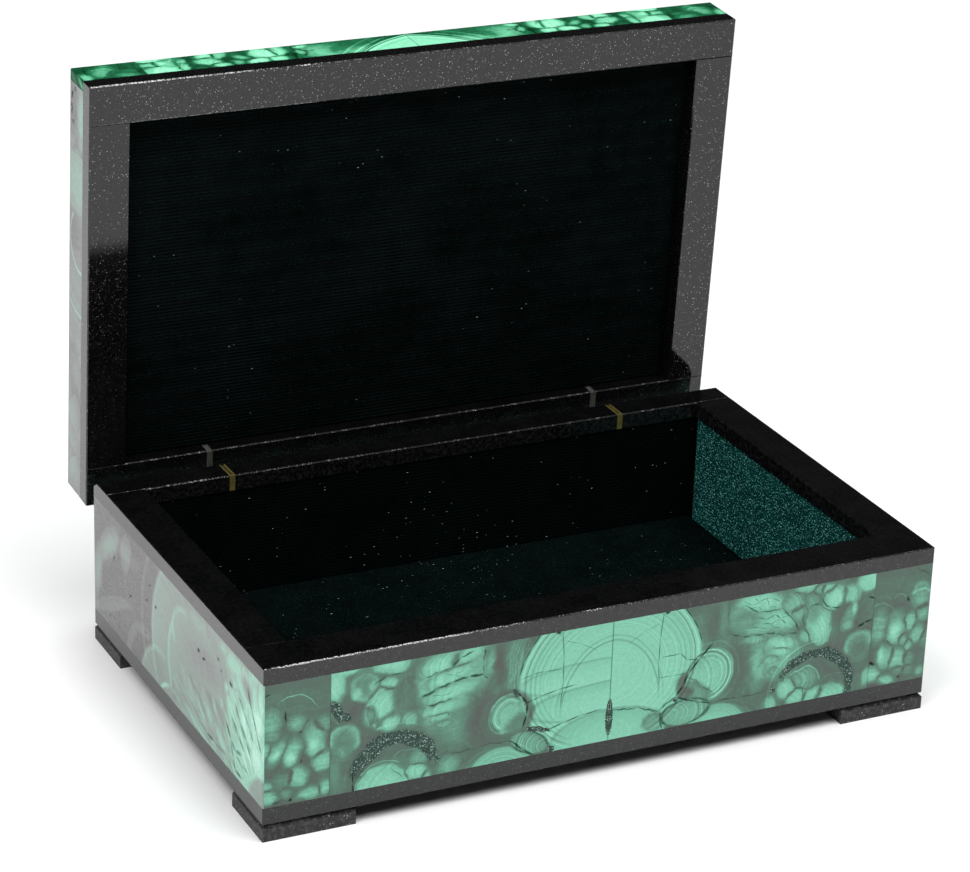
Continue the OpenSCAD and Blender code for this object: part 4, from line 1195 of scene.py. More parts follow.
class Malachite:
    """Malachite finish: lays a facing's growth on its face and polishes it."""

    coat_gloss = 0.07
    coat_index = 1.5
    slow_scale, fast_scale = 0.16, 0.42
    slow_bend, fast_bend = 2.6, 1.9
    still_warp = 0.16
    tone_bend, still_tone_bend = (0.8, 0.8, 0.0), (0.1, 0.1, 0.0)
    seam_width = (0.05, 0.2)
    seam_dark = 0.75
    # Colour of the pale points in the hollows: partly crystals, partly painted sparkle.
    crystal_colour = (0.52, 0.70, 0.62)
    crystal_relief = 0.12 * MM
    crystal_bump = 0.8

    def __init__(self) -> None:
        """Builds the shared groups once."""
        self.nodule = NoduleGroup()
        self.spindle = SpindleGroup()
        self.ring = RingGroup()
        self.ground = GroundGroup()
        self.stone = MalachiteGroup()

    def face_place(self, w: Wiring, facing: Facing) -> Socket:
        """Gives the place on the facing's cut face in millimetres.

        Args:
            w: The material's wiring.
            facing: The facing.

        Returns:
            A flat vector: across, up and nothing.
        """
        place = w.node("ShaderNodeTexCoord").outputs["Object"]
        if facing.on_lid:
            inputs = {"Vector": place, "Center": tuple(HINGE_PLACE), "Angle": LID_TRAVEL}
            place = w.node("ShaderNodeVectorRotate", inputs, rotation_type="X_AXIS").outputs[0]
        parts = w.parts(w.scaled(place, 1.0 / MM))
        across, up = (parts[axis] for axis in facing.cut.value)
        if facing.cut is Cut.END:
            across = w.times(across, -1.0)
        across = w.minus(across, facing.origin[0])
        up = w.minus(up, facing.origin[1])
        if facing.mirrored:
            across = w.math("ABSOLUTE", across)
        return w.joined(across, up)

    def warped(self, w: Wiring, place: Socket, reach: float) -> Socket:
        """Bends a place by slow and fast noise, so that no edge is a true oval.

        Args:
            w: The material's wiring.
            place: The place on the face.
            reach: How far it may bend, in millimetres.

        Returns:
            The bent place, still flat.
        """
        slow = w.noise_vector(place, self.slow_scale, 1.0)
        fast = w.noise_vector(place, self.fast_scale, 2.5)
        bend = w.scaled(w.vector("SUBTRACT", slow, (0.5, 0.5, 0.5)), self.slow_bend * reach)
        ripple = w.scaled(w.vector("SUBTRACT", fast, (0.5, 0.5, 0.5)), self.fast_bend * reach)
        moved = w.vector("ADD", place, w.vector("ADD", bend, ripple))
        return w.vector("MULTIPLY", moved, (1.0, 1.0, 0.0))

    def material(self, facing: Facing) -> bpy.types.Material:
        """Makes the material of one facing.

        Args:
            facing: The facing and what its face shows.

        Returns:
            The material.
        """
        material, w, shader = new_material(f"malachite_{facing.name}")
        place = self.face_place(w, facing)
        bent = self.warped(w, place, facing.warp)
        layers = self.ground.place(w, {"Place": bent, **facing.ground.inputs()})
        tone = layers["Tone"]
        bent = w.vector("MULTIPLY_ADD", w.joined(tone, tone), self.tone_bend, bent)
        still = self.warped(w, place, self.still_warp)
        still = w.vector("MULTIPLY_ADD", w.joined(tone, tone), self.still_tone_bend, still)
        spots = {False: bent, True: still}
        for index, nodule in enumerate(facing.nodules):
            under = {label: layers[label] for label in LAYERS}
            layers = self.nodule.place(w, {"Place": spots[nodule.still], **nodule.inputs(index), **under})
        tone, gap = layers["Tone"], layers["Gap"]
        for ring in facing.rings:
            tone = self.ring.place(w, {"Place": spots[ring.still], **ring.inputs(), "Value": tone})[0]
        for crack in facing.cracks:
            for stretch in crack.stretches():
                gap = self.spindle.place(w, {"Place": spots[crack.still], **stretch, "Mask": gap})[0]
        for seam in facing.seams:
            off = w.math("ABSOLUTE", w.minus(w.parts(place)[0], seam))
            gap = w.larger(gap, w.remap(off, *self.seam_width, self.seam_dark, 0.0))
        hollow: Value = 0.0
        for pocket in facing.pockets:
            given = {"Place": spots[pocket.still], **pocket.inputs(), "Mask": hollow}
            hollow = self.spindle.place(w, given)[0]
        for arc in facing.arcs:
            hollow = self.ring.place(w, {"Place": bent, **arc.inputs(), "Value": hollow})[0]
        stone = self.stone.place(w, {"Place": place, "Tone": tone, "Gap": gap, "Near": layers["Near"],
                                     "Growth": layers["Growth"], "Stripes": layers["Stripes"],
                                     "Hollow": hollow})
        self.dress(w, shader, facing, stone)
        return material

    def dress(self, w: Wiring, shader: bpy.types.Node, facing: Facing, stone: dict) -> None:
        """Links the stone's values to the shader.

        Args:
            w: The material's wiring.
            shader: The material's shader node.
            facing: The facing, whose colours and polish are used.
            stone: Outputs of the malachite group.
        """
        palette = facing.palette
        colour = w.ramp(stone["Tone"], palette.stops())
        colour = w.mix_colour(stone["Gap"], colour, palette.joint)
        # The hollows' pale points: partly crystal colour, partly painted sparkle.
        druse = w.mix_colour(stone["Crystal sparkle"], palette.druse, self.crystal_colour)
        colour = w.mix_colour(stone["Hollow"], colour, druse)
        bump = w.node("ShaderNodeBump", {"Height": stone["Height"], "Distance": self.crystal_relief,
                                         "Strength": self.crystal_bump})
        w.fill(shader, {"Base Color": colour, "Roughness": stone["Roughness"], "Normal": bump.outputs[0],
                        "Coat Weight": w.times(stone["Polish"], facing.polish), "Specular IOR Level": 0.0,
                        "Coat Roughness": self.coat_gloss, "Coat IOR": self.coat_index})


def new_material(name: str) -> tuple[bpy.types.Material, Wiring, bpy.types.Node]:
    """Makes a material with one principled shader.

    Args:
        name: The material's name.

    Returns:
        The material, its wiring and its shader node.
    """
    material = bpy.data.materials.new(name)
    material.use_nodes = True
    shader = material.node_tree.nodes["Principled BSDF"]
    return material, Wiring(material.node_tree), shader


def tinted(colour: Colour, factor: float) -> Colour:
    """Returns a colour times a number."""
    return tuple(factor * part for part in colour)


@dataclass(frozen=True)
class DarkStone:
    """A dark grained stone, polished or left as it was sawn, with shining ore grains."""

    name: str
    body: Colour
    ore: Colour
    grain: float
    share: float
    gloss: float
    index: float
    relief: float
    chips: float
    mottle: float

    dust_colour = (0.018, 0.018, 0.018)
    # The chips' colour: partly the paler broken stone, partly a painted glint.
    chip_colour = (0.78, 0.78, 0.76)
    worn_side = (-0.003, 0.0, 0.0)
    cloud_shade = 0.4
    least_rough, most_rough = 0.8, 1.25
    chip_depth = -2.0
    speck_gloss, arris_gloss, glint_gloss = 0.3, 0.95, 0.4
    bump = 0.7

    def material(self, speckle: SpeckleGroup, arris: ArrisGroup) -> bpy.types.Material:
        """Makes the stone's material.

        Args:
            speckle: The grain group.
            arris: The edge wear group.

        Returns:
            The material.
        """
        material, w, shader = new_material(self.name)
        coordinates = w.node("ShaderNodeTexCoord").outputs
        place = w.scaled(coordinates["Object"], 1.0 / MM)
        grains = speckle.place(w, {"Place": place, "Grain": self.grain, "Share": self.share})
        edges = arris.place(w, {"Place": place, "Normal": coordinates["Normal"], "Chips": self.chips,
                                "Worn side": self.worn_side})
        shade = tinted(self.body, self.cloud_shade)
        colour = w.mix_colour(w.remap(grains["Cloud"], 0.3, 0.7), self.body, shade)
        # Painted shade: on faces that look up, the mottle, dust and ore specks fade, so the tops read darker
        # and plainer.
        _, _, upward = w.parts(coordinates["Normal"])
        seen = w.remap(w.math("ABSOLUTE", upward), 0.5, 0.95, 1.0, 0.15)
        clouded = w.times(w.remap(grains["Patch"], 0.44, 0.66), seen)
        colour = w.mix_colour(clouded, colour, tinted(self.body, self.mottle))
        dusting = w.times(w.remap(grains["Grit"], 0.5, 0.72), seen)
        colour = w.mix_colour(dusting, colour, self.dust_colour)
        colour = w.mix_colour(w.times(grains["Shine"], seen), colour, self.ore)
        # Chips along the edges: partly paler broken stone, partly painted glint.
        colour = w.mix_colour(edges["Chip"], colour, self.chip_colour)
        rough = w.remap(grains["Grit"], 0.25, 0.75, self.least_rough * self.gloss,
                        self.most_rough * self.gloss, smooth=False)
        rough = w.mix(grains["Speck"], rough, self.speck_gloss)
        bare = w.minus(1.0, edges["Chip"])
        if self.chips:
            rough = w.mix(w.times(edges["Arris"], bare), rough, self.arris_gloss)
            rough = w.mix(edges["Glint"], rough, self.glint_gloss)
        height = w.math("MULTIPLY_ADD", edges["Chip"], self.chip_depth, grains["Grit"])
        bump = w.node("ShaderNodeBump", {"Height": height, "Distance": self.relief * MM,
                                         "Strength": self.bump})
        w.fill(shader, {"Base Color": colour, "Metallic": w.times(grains["Speck"], bare), "Roughness": rough,
                        "Normal": bump.outputs[0], "IOR": self.index})
        return material


@dataclass(frozen=True)
class Metal:
    """A worked metal with a dull skin, brighter towards the sides of each hinge: partly rubbed wear, partly
    painted highlight.
    """

    name: str
    bright: Colour
    tarnish: Colour
    gloss: float
    skin: float

    drawn = (6.0, 0.7, 0.7)
    rubbed = (0.55, 0.9)
    scratch_depth = 0.03 * MM
    scratch_bump = 0.5
    scratch_dull = 0.2

    def material(self) -> bpy.types.Material:
        """Makes the metal's material.

        Returns:
            The material.
        """
        material, w, shader = new_material(self.name)
        place = w.scaled(w.node("ShaderNodeTexCoord").outputs["Object"], 1.0 / MM)
        drawn = w.vector("MULTIPLY", place, self.drawn)
        stain_and_highlight = w.remap(w.noise(place, 0.7, 4.0, 0.65), 0.32, 0.68)
        scratch = w.noise(drawn, 2.0, 3.0, 0.6)
        side, _, _ = w.parts(place)
        # Painted highlight and shade, partly wear: brighter towards the sides of each hinge, darker in its
        # middle.
        off = w.math("ABSOLUTE", w.minus(w.math("ABSOLUTE", side), HINGE_X))
        rubbed = w.remap(off, *(share * HINGE_HALF for share in self.rubbed))
        stain_and_highlight = w.larger(w.times(stain_and_highlight, 0.5), rubbed)
        bump = w.node("ShaderNodeBump", {"Height": scratch, "Distance": self.scratch_depth,
                                         "Strength": self.scratch_bump})
        w.fill(shader, {"Base Color": w.mix_colour(stain_and_highlight, self.tarnish, self.bright),
                        "Metallic": w.remap(stain_and_highlight, 0.0, 1.0, self.skin, 1.0, smooth=False),
                        "Roughness": w.remap(scratch, 0.3, 0.7, self.gloss, self.gloss + self.scratch_dull),
                        "Normal": bump.outputs[0]})
        return material


@dataclass(frozen=True)
class Velvet:
    """Cut-pile cloth, near black with a green lustre."""

    name: str
    shade: Colour
    lustre: Colour
    sheen: float
    lint: float
    # Strength of the painted glints on the fibre tips.
    tips: float = 0.06
    ribs: float = 0.1
    along: tuple[float, float, float] = (0.0, 1.0, 0.0)

    brush_shade, rib_shade = 1.7, 4.0
    lint_colour = (0.68, 0.85, 0.83)
    pile_depth = 0.35 * MM
    pile_bump = 0.9
    sheen_gloss = 0.4

    def material(self, nap: NapGroup) -> bpy.types.Material:
        """Makes the cloth's material.

        Args:
            nap: The pile group.

        Returns:
            The material.
        """
        material, w, shader = new_material(self.name)
        place = w.scaled(w.node("ShaderNodeTexCoord").outputs["Object"], 1.0 / MM)
        pile = nap.place(w, {"Place": place, "Lint": self.lint, "Along": self.along})
        brushed = tinted(self.shade, self.brush_shade)
        colour = w.mix_colour(w.remap(pile["Brush"], 0.3, 0.7), self.shade, brushed)
        # Painted highlight along the ribs, lighter than the cloth.
        colour = w.mix_colour(w.times(pile["Rib"], self.ribs), colour, tinted(self.shade, self.rib_shade))
        # Painted glints: the lustre colour laid into the base colour at the fibre tips.
        colour = w.mix_colour(w.times(pile["Painted tip glint"], self.tips), colour, self.lustre)
        colour = w.mix_colour(pile["Lint"], colour, self.lint_colour)
        bump = w.node("ShaderNodeBump", {"Height": pile["Height"], "Distance": self.pile_depth,
                                         "Strength": self.pile_bump})
        w.fill(shader, {"Base Color": colour, "Roughness": w.remap(pile["Brush"], 0.3, 0.7, 0.85, 1.0),
                        "Normal": bump.outputs[0], "Specular IOR Level": 0.0, "Sheen Weight": self.sheen,
                        "Sheen Roughness": self.sheen_gloss, "Sheen Tint": (*self.lustre, 1.0)})
        return material


class Finishes:
    """Every finish of the box, made once and handed to the sub-assemblies."""

    def __init__(self) -> None:
        """Builds the shared groups and the materials."""
        self.speckle, self.arris = SpeckleGroup(), ArrisGroup()
        nap = NapGroup()
        self.malachite = Malachite()
        polished = DarkStone("black_stone", body=(0.0032, 0.0032, 0.0034), ore=(0.24, 0.23, 0.24), grain=0.34,
                             share=0.3, gloss=0.06, index=1.53, relief=0.006, chips=0.0, mottle=5.5)
        rough = DarkStone("rough_stone", body=(0.010, 0.011, 0.010), ore=(0.70, 0.70, 0.69), grain=0.5,
                          share=0.3, gloss=0.5, index=1.5, relief=0.35, chips=0.3, mottle=7.0)
        core = DarkStone("core_stone", body=(0.060, 0.058, 0.054), ore=(0.2, 0.2, 0.19), grain=0.7,
                         share=0.3, gloss=0.7, index=1.5, relief=0.15, chips=0.2, mottle=1.8)
        starry = replace(polished, name="black_stone_of_lid", ore=(0.56, 0.55, 0.58), grain=0.36, share=0.58,
                         mottle=1.4)
        self.black_stone = self.stone(polished)
        # Chipped edges carry painted glints as well as real chips.
        self.black_stone_chipped = self.stone(polished, "chipped", 0.8)
        self.black_stone_spotted = self.stone(polished, "spotted", 0.4)
        self.black_stone_lid = self.stone(starry)
        self.black_stone_lid_chipped = self.stone(starry, "chipped", 0.8)
        self.black_stone_lid_spotted = self.stone(starry, "spotted", 0.25)
        self.rough_stone = self.stone(rough)
        self.core_stone = self.stone(core)
        cloth = Velvet("velvet", shade=(0.0012, 0.0020, 0.0020), lustre=(0.06, 0.55, 0.47), sheen=0.012,
                       lint=0.042)
        of_lid = replace(cloth, name="velvet_of_lid", shade=(0.0020, 0.0028, 0.0028), along=(0.0, 0.0, 1.0),
                         ribs=0.45, lint=0.009)
        # The right wall's velvet is a lit copy of the cloth: painted light in its brighter green colour and
        # in its strong painted glints.
        painted_lit = replace(cloth, name="velvet_with_painted_light", shade=(0.0012, 0.031, 0.027),
                      lustre=(0.30, 1.0, 0.92), tips=3.2, sheen=0.05, ribs=0.0, lint=0.01)
        self.velvet, self.velvet_lid, self.velvet_lit = (pile.material(nap) for pile in (cloth, of_lid, painted_lit))
        brass = Metal("brass", bright=(0.62, 0.50, 0.17), tarnish=(0.12, 0.105, 0.025), gloss=0.24, skin=0.3)
        worn = Metal("brass_worn_grey", bright=(0.30, 0.30, 0.27), tarnish=(0.07, 0.07, 0.062), gloss=0.3,
                     skin=0.4)
        steel = Metal("pin_steel", bright=(0.56, 0.55, 0.52), tarnish=(0.20, 0.19, 0.17), gloss=0.3, skin=0.7)
        self.brass, self.worn_brass, self.steel = (metal.material() for metal in (brass, worn, steel))

    def stone(self, kind: DarkStone, wear: str = "", chips: float = 0.0) -> bpy.types.Material:
        """Makes the material of a dark stone.

        Args:
            kind: The stone.
            wear: Name of its wear, or nothing for the stone as it is.
            chips: Strength of the chips on the worn stone's edges, with their painted glints.

        Returns:
            The material.
        """
        if wear:
            kind = replace(kind, name=f"{kind.name}_{wear}", chips=chips)
        return kind.material(self.speckle, self.arris)


# Cosine of the angle within which a slab's edge counts as part of the lid's top
FLAT = 0.8


def dress_end(name: str, material: bpy.types.Material, towards: Vector, least: float = 0.6) -> None:
    """Gives the edge of a slab the material of the face that it closes.

    Args:
        name: Name of the node.
        material: Material of that face.
        towards: Direction in which the edge looks.
        least: Cosine of the widest angle from that direction.
    """
    mesh = frame["nodes"][name].data
    mesh.materials.append(material)
    for polygon in mesh.polygons:
        if polygon.normal.dot(towards) > least:
            polygon.material_index = len(mesh.materials) - 1
    log.info("%s end: %s", name, material.name)


def dress(names: Sequence[str], material: bpy.types.Material) -> None:
    """Gives some of the frame's own pieces a material.

    Args:
        names: Names of the nodes.
        material: Their material.
    """
    for name in names:
        mesh = frame["nodes"][name].data
        mesh.materials.clear()
        mesh.materials.append(material)
        log.info("%s: %s", name, material.name)


@dataclass
class Carcass:
    """The lower box: plate, feet, cores, facings and rim."""

    feet: tuple[str, ...] = ("foot_front_left", "foot_front_right", "foot_back_left", "foot_back_right")
    cores: tuple[str, ...] = ("wall_core_front", "wall_core_back", "wall_core_left", "wall_core_right")
    edging: tuple[str, ...] = ("bottom_plate", "rim_left", "rim_right")
    worn_edging: tuple[str, ...] = ("rim_front",)
    spotted_edging: tuple[str, ...] = ("rim_back_left", "rim_back_middle", "rim_back_right")

    def facings(self) -> list[Facing]:
        """Sets out the malachite of the four walls.

        Returns:
            The facings.
        """
        foot = FACING_FOOT / MM
        left, seam = BOX_LEFT / MM, CORNER_SEAM / MM
        return [
            Facing("front_left", ("front_panel_left",), Cut.FRONT, (0.0, foot), mirrored=True,
                   nodules=FRONT_LEFT_NODULES, rings=FRONT_LEFT_RINGS, cracks=FRONT_LEFT_CRACKS,
                   pockets=FRONT_LEFT_POCKETS, arcs=FRONT_LEFT_ARCS, seams=(0.0, seam)),
            Facing("front_right", ("front_panel_right",), Cut.FRONT, (0.0, foot), mirrored=True,
                   nodules=FRONT_RIGHT_NODULES, rings=FRONT_RIGHT_RINGS, cracks=FRONT_RIGHT_CRACKS,
                   pockets=FRONT_RIGHT_POCKETS, arcs=FRONT_RIGHT_ARCS, seams=(0.0, seam)),
            Facing("corner_left", ("front_corner_left",), Cut.FRONT, (left, foot),
                   nodules=CORNER_LEFT_NODULES, rings=CORNER_LEFT_RINGS, cracks=CORNER_LEFT_CRACKS,
                   ground=DULL_GROUND),
            Facing("corner_right", ("front_corner_right",), Cut.FRONT, (seam, foot),
                   nodules=CORNER_RIGHT_NODULES, rings=CORNER_RIGHT_RINGS, cracks=CORNER_RIGHT_CRACKS,
                   ground=DULL_GROUND),
            Facing("end_left", ("side_panel_left",), Cut.END, END_TO_FRONT, palette=HAZY,
                   nodules=LEFT_NODULES, rings=LEFT_RINGS, cracks=LEFT_CRACKS, pockets=LEFT_POCKETS,
                   warp=0.6),
            Facing("end_right", ("side_panel_right",), Cut.END, END_TO_FRONT,
                   **strewn(3, (BOX_DEEP, WALL_HIGH), 13.0)),
            Facing("back", ("back_panel_left", "back_panel_right"), Cut.FRONT, (0.0, foot), mirrored=True,
                   palette=SHADED, seams=(0.0,), **strewn(5, (BOX_HALF, WALL_HIGH), 13.0)),
        ]

    def dress(self, finishes: Finishes) -> None:
        """Dresses every piece of the lower box.

        Args:
            finishes: The box's finishes.
        """
        dress(self.feet, finishes.rough_stone)
        dress(self.cores, finishes.core_stone)
        dress(self.edging, finishes.black_stone)
        dress(self.worn_edging, finishes.black_stone_chipped)
        dress(self.spotted_edging, finishes.black_stone_spotted)
        facings = self.facings()
        made = {facing.name: finishes.malachite.material(facing) for facing in facings}
        for facing in facings:
            dress(facing.nodes, made[facing.name])
        for side, turn in (("left", -1.0), ("right", 1.0)):
            for node in (f"front_corner_{side}", f"back_panel_{side}"):
                dress_end(node, made[f"end_{side}"], Vector((turn, 0.0, 0.0)))


@dataclass
class Lid:
    """The lid: core, black frame and malachite on its top and edges."""

    frame_sides: tuple[str, ...] = ("lid_frame_left", "lid_frame_right")
    frame_front: tuple[str, ...] = ("lid_frame_front",)
    frame_back: tuple[str, ...] = ("lid_frame_back",)

    def facings(self) -> list[Facing]:
        """Sets out the malachite of the lid, on the closed lid's own directions.

        Returns:
            The facings.
        """
        left, seam = BOX_LEFT / MM, CORNER_SEAM / MM
        foot = (RIM_TOP + LID_GAP + LID_FRAME_T) / MM
        front = -FRONT_Y / MM
        edge = dict(on_lid=True, palette=SATURATED)
        return [
            Facing("lid_edge_front", ("lid_edge_front_left", "lid_edge_front_right"), Cut.FRONT, (0.0, foot),
                   mirrored=True, nodules=LID_EDGE_NODULES, rings=LID_EDGE_RINGS, cracks=LID_EDGE_CRACKS,
                   ground=Ground(7.0, 0.2, 0.36, 0.3, 0.08, 0.3), seams=(0.0, seam), warp=1.0, **edge),
            Facing("lid_corner_left", ("lid_edge_corner_left",), Cut.FRONT, (left, foot),
                   nodules=LID_CORNER_NODULES, cracks=LID_CORNER_CRACKS, **edge),
            Facing("lid_corner_right", ("lid_edge_corner_right",), Cut.FRONT, (-left, foot), mirrored=True,
                   nodules=LID_CORNER_NODULES, cracks=LID_CORNER_CRACKS, **edge),
            Facing("lid_edge_left", ("lid_edge_left",), Cut.END, (front, foot), on_lid=True, mirrored=True,
                   palette=HAZY, nodules=LID_LEFT_NODULES, rings=LID_LEFT_RINGS, cracks=LID_LEFT_CRACKS,
                   pockets=LID_LEFT_POCKETS),
            Facing("lid_edge_right", ("lid_edge_right",), Cut.END, (front, foot), on_lid=True,
                   mirrored=True, **strewn(7, (BOX_DEEP, LID_EDGE_HIGH), 8.0)),
            Facing("lid_edge_back", ("lid_edge_back",), Cut.FRONT, (0.0, foot), on_lid=True, mirrored=True,
                   **strewn(9, (BOX_HALF, LID_EDGE_HIGH), 8.0)),
            Facing("lid_top", ("lid_top_left", "lid_top_right"), Cut.TOP, (0.0, FRONT_Y / MM), on_lid=True,
                   mirrored=True, seams=(0.0, seam), **strewn(11, (TOP_HALF, BOX_DEEP), 16.0)),
            Facing("lid_top_ends", ("lid_top_end_left", "lid_top_end_right"), Cut.TOP, (0.0, FRONT_Y / MM),
                   on_lid=True, mirrored=True, **strewn(13, (TOP_END, BOX_DEEP), 9.0, (TOP_HALF, 0.0))),
        ]

    def corner_end(self) -> Facing:
        """Sets out the unpolished end of the front edge, seen on the lid's left.

        Returns:
            The facing.
        """
        foot = (RIM_TOP + LID_GAP + LID_FRAME_T) / MM
        patches = (haze((1.4, 2.0), (1.1, 3.0), 20, 0.66, 0.44, 0.6),
                   haze((2.0, 7.6), (0.8, 2.4), 20, 0.5, 0.36, 0.5))
        return Facing("lid_corner_end", (), Cut.END, (-FRONT_Y / MM, foot), on_lid=True, mirrored=True,
                      palette=SATURATED, nodules=patches, polish=0.25)

    def dress(self, finishes: Finishes) -> None:
        """Dresses every piece of the lid.

        Args:
            finishes: The box's finishes.
        """
        dress(("lid_core",), finishes.core_stone)
        dress(self.frame_sides, finishes.black_stone_lid)
        dress(self.frame_front, finishes.black_stone_lid_chipped)
        dress(self.frame_back, finishes.black_stone_lid_spotted)
        facings = self.facings()
        made = {facing.name: finishes.malachite.material(facing) for facing in facings}
        for facing in facings:
            dress(facing.nodes, made[facing.name])
        end = finishes.malachite.material(self.corner_end())
        top = Matrix.Rotation(-LID_TRAVEL, 3, "X") @ Vector((0.0, 0.0, 1.0))
        for side, turn in (("left", -1.0), ("right", 1.0)):
            out = Vector((turn, 0.0, 0.0))
            dress_end(f"lid_edge_corner_{side}", end, out)
            dress_end("lid_edge_back", made[f"lid_edge_{side}"], out)
            dress_end(f"lid_edge_corner_{side}", made["lid_top_ends"], top, FLAT)
            dress_end(f"lid_edge_{side}", made["lid_top_ends"], top, FLAT)
            dress_end(f"lid_edge_front_{side}", made["lid_top"], top, FLAT)
        dress_end("lid_edge_back", made["lid_top"], top, FLAT)


@dataclass
class Hinges:
    """Two hinges, each a fork, a tongue and a pin."""

    sides: tuple[str, ...] = ("left", "right")

    def dress(self, finishes: Finishes) -> None:
        """Dresses the hinges.

        Args:
            finishes: The box's finishes.
        """
        for side in self.sides:
            dress((f"hinge_fork_{side}",), finishes.brass)
            dress((f"hinge_tongue_{side}",), finishes.worn_brass)
            dress((f"hinge_pin_{side}",), finishes.steel)


class SheetTree:
    """Geometry Nodes tree of a stretched velvet: a ribbed sheet whose border turns over."""

    nap_scale = 90.0

    def __init__(self) -> None:
        """Builds the tree with its named inputs."""
        self.tree = bpy.data.node_groups.new("velvet_sheet", "GeometryNodeTree")
        face = self.tree.interface
        self.ids: dict[str, str] = {}
        face.new_socket("Geometry", in_out="INPUT", socket_type="NodeSocketGeometry")
        kinds = {"NodeSocketFloat": ("Width", "Length", "Rib pitch", "Rib height", "Border", "Nap"),
                 "NodeSocketInt": ("Columns", "Rows"), "NodeSocketMaterial": ("Cloth",)}
        for kind, labels in kinds.items():
            for label in labels:
                self.ids[label] = face.new_socket(label, in_out="INPUT", socket_type=kind).identifier
        face.new_socket("Geometry", in_out="OUTPUT", socket_type="NodeSocketGeometry")
        self.wire()

    def wire(self) -> None:
        """Lays the grid, raises ribs and nap, and turns the border down."""
        w = Wiring(self.tree)
        given = w.node("NodeGroupInput").outputs
        grid = w.node("GeometryNodeMeshGrid", {"Size X": given["Width"], "Size Y": given["Length"],
                                               "Vertices X": given["Columns"], "Vertices Y": given["Rows"]})
        place = w.node("GeometryNodeInputPosition").outputs[0]
        x, y, _ = w.parts(place)
        turn = w.math("DIVIDE", w.times(y, math.tau), given["Rib pitch"])
        rib = w.times(w.minus(w.math("SINE", turn), 1.0), given["Rib height"])
        soft = w.minus(w.noise(place, self.nap_scale, 2.0), 1.0)
        nap = w.times(soft, given["Nap"])
        to_side = w.minus(w.times(given["Width"], 0.5), w.math("ABSOLUTE", x))
        to_end = w.minus(w.times(given["Length"], 0.5), w.math("ABSOLUTE", y))
        border = given["Border"]
        inset = w.math("MINIMUM", w.math("MINIMUM", to_side, to_end), border)
        lack = w.minus(1.0, w.math("DIVIDE", inset, border))
        level = w.math("SQRT", w.minus(1.0, w.times(lack, lack)))
        fall = w.times(w.minus(level, 1.0), border)
        lift = w.plus(w.plus(rib, nap), fall)
        moved = w.node("GeometryNodeSetPosition", {"Geometry": grid.outputs["Mesh"],
                                                   "Offset": w.joined(0.0, 0.0, lift)})
        real = w.node("GeometryNodeRealizeInstances", {0: moved.outputs[0]})
        dressed = w.node("GeometryNodeSetMaterial", {"Geometry": real.outputs[0], "Material": given["Cloth"]})
        end = w.node("NodeGroupOutput")
        self.tree.links.new(dressed.outputs[0], end.inputs[0])


def bake_tree(name: str, tree: bpy.types.NodeTree, values: dict[str, object]) -> bpy.types.Object:
    """Runs a Geometry Nodes tree and keeps its result as a plain mesh.

    Args:
        name: The new piece's name.
        tree: The tree.
        values: Input values by socket identifier.

    Returns:
        A new object with the resulting mesh and no modifier.
    """
    carrier = bpy.data.objects.new(f"{name}_carrier", bpy.data.meshes.new(f"{name}_carrier"))
    modifier = carrier.modifiers.new("nodes", "NODES")
    modifier.node_group = tree
    for identifier, value in values.items():
        modifier[identifier] = value
    bpy.context.scene.collection.objects.link(carrier)
    graph = bpy.context.evaluated_depsgraph_get()
    mesh = bpy.data.meshes.new_from_object(carrier.evaluated_get(graph))
    mesh.name = name
    bpy.data.objects.remove(carrier)
    piece = bpy.data.objects.new(name, mesh)
    bpy.context.scene.collection.objects.link(piece)
    return piece


def close_below(mesh: bpy.types.Mesh, thick: float) -> None:
    """Turns an open sheet into a closed one by a skirt and a flat underside.

    Args:
        mesh: The sheet, facing up.
        thick: Height of the sheet above its underside.
    """
    work = bmesh.new()
    work.from_mesh(mesh)
    rim = [edge for edge in work.edges if edge.is_boundary]
    skirt = bmesh.ops.extrude_edge_only(work, edges=rim)["geom"]
    low = [item for item in skirt if isinstance(item, bmesh.types.BMVert)]
    for vert in low:
        vert.co.z = -thick
    bottom = [item for item in skirt if isinstance(item, bmesh.types.BMEdge) and item.is_boundary]
    bmesh.ops.triangle_fill(work, use_beauty=True, use_dissolve=False, edges=bottom)
    bmesh.ops.recalc_face_normals(work, faces=work.faces)
    work.to_mesh(mesh)
    work.free()


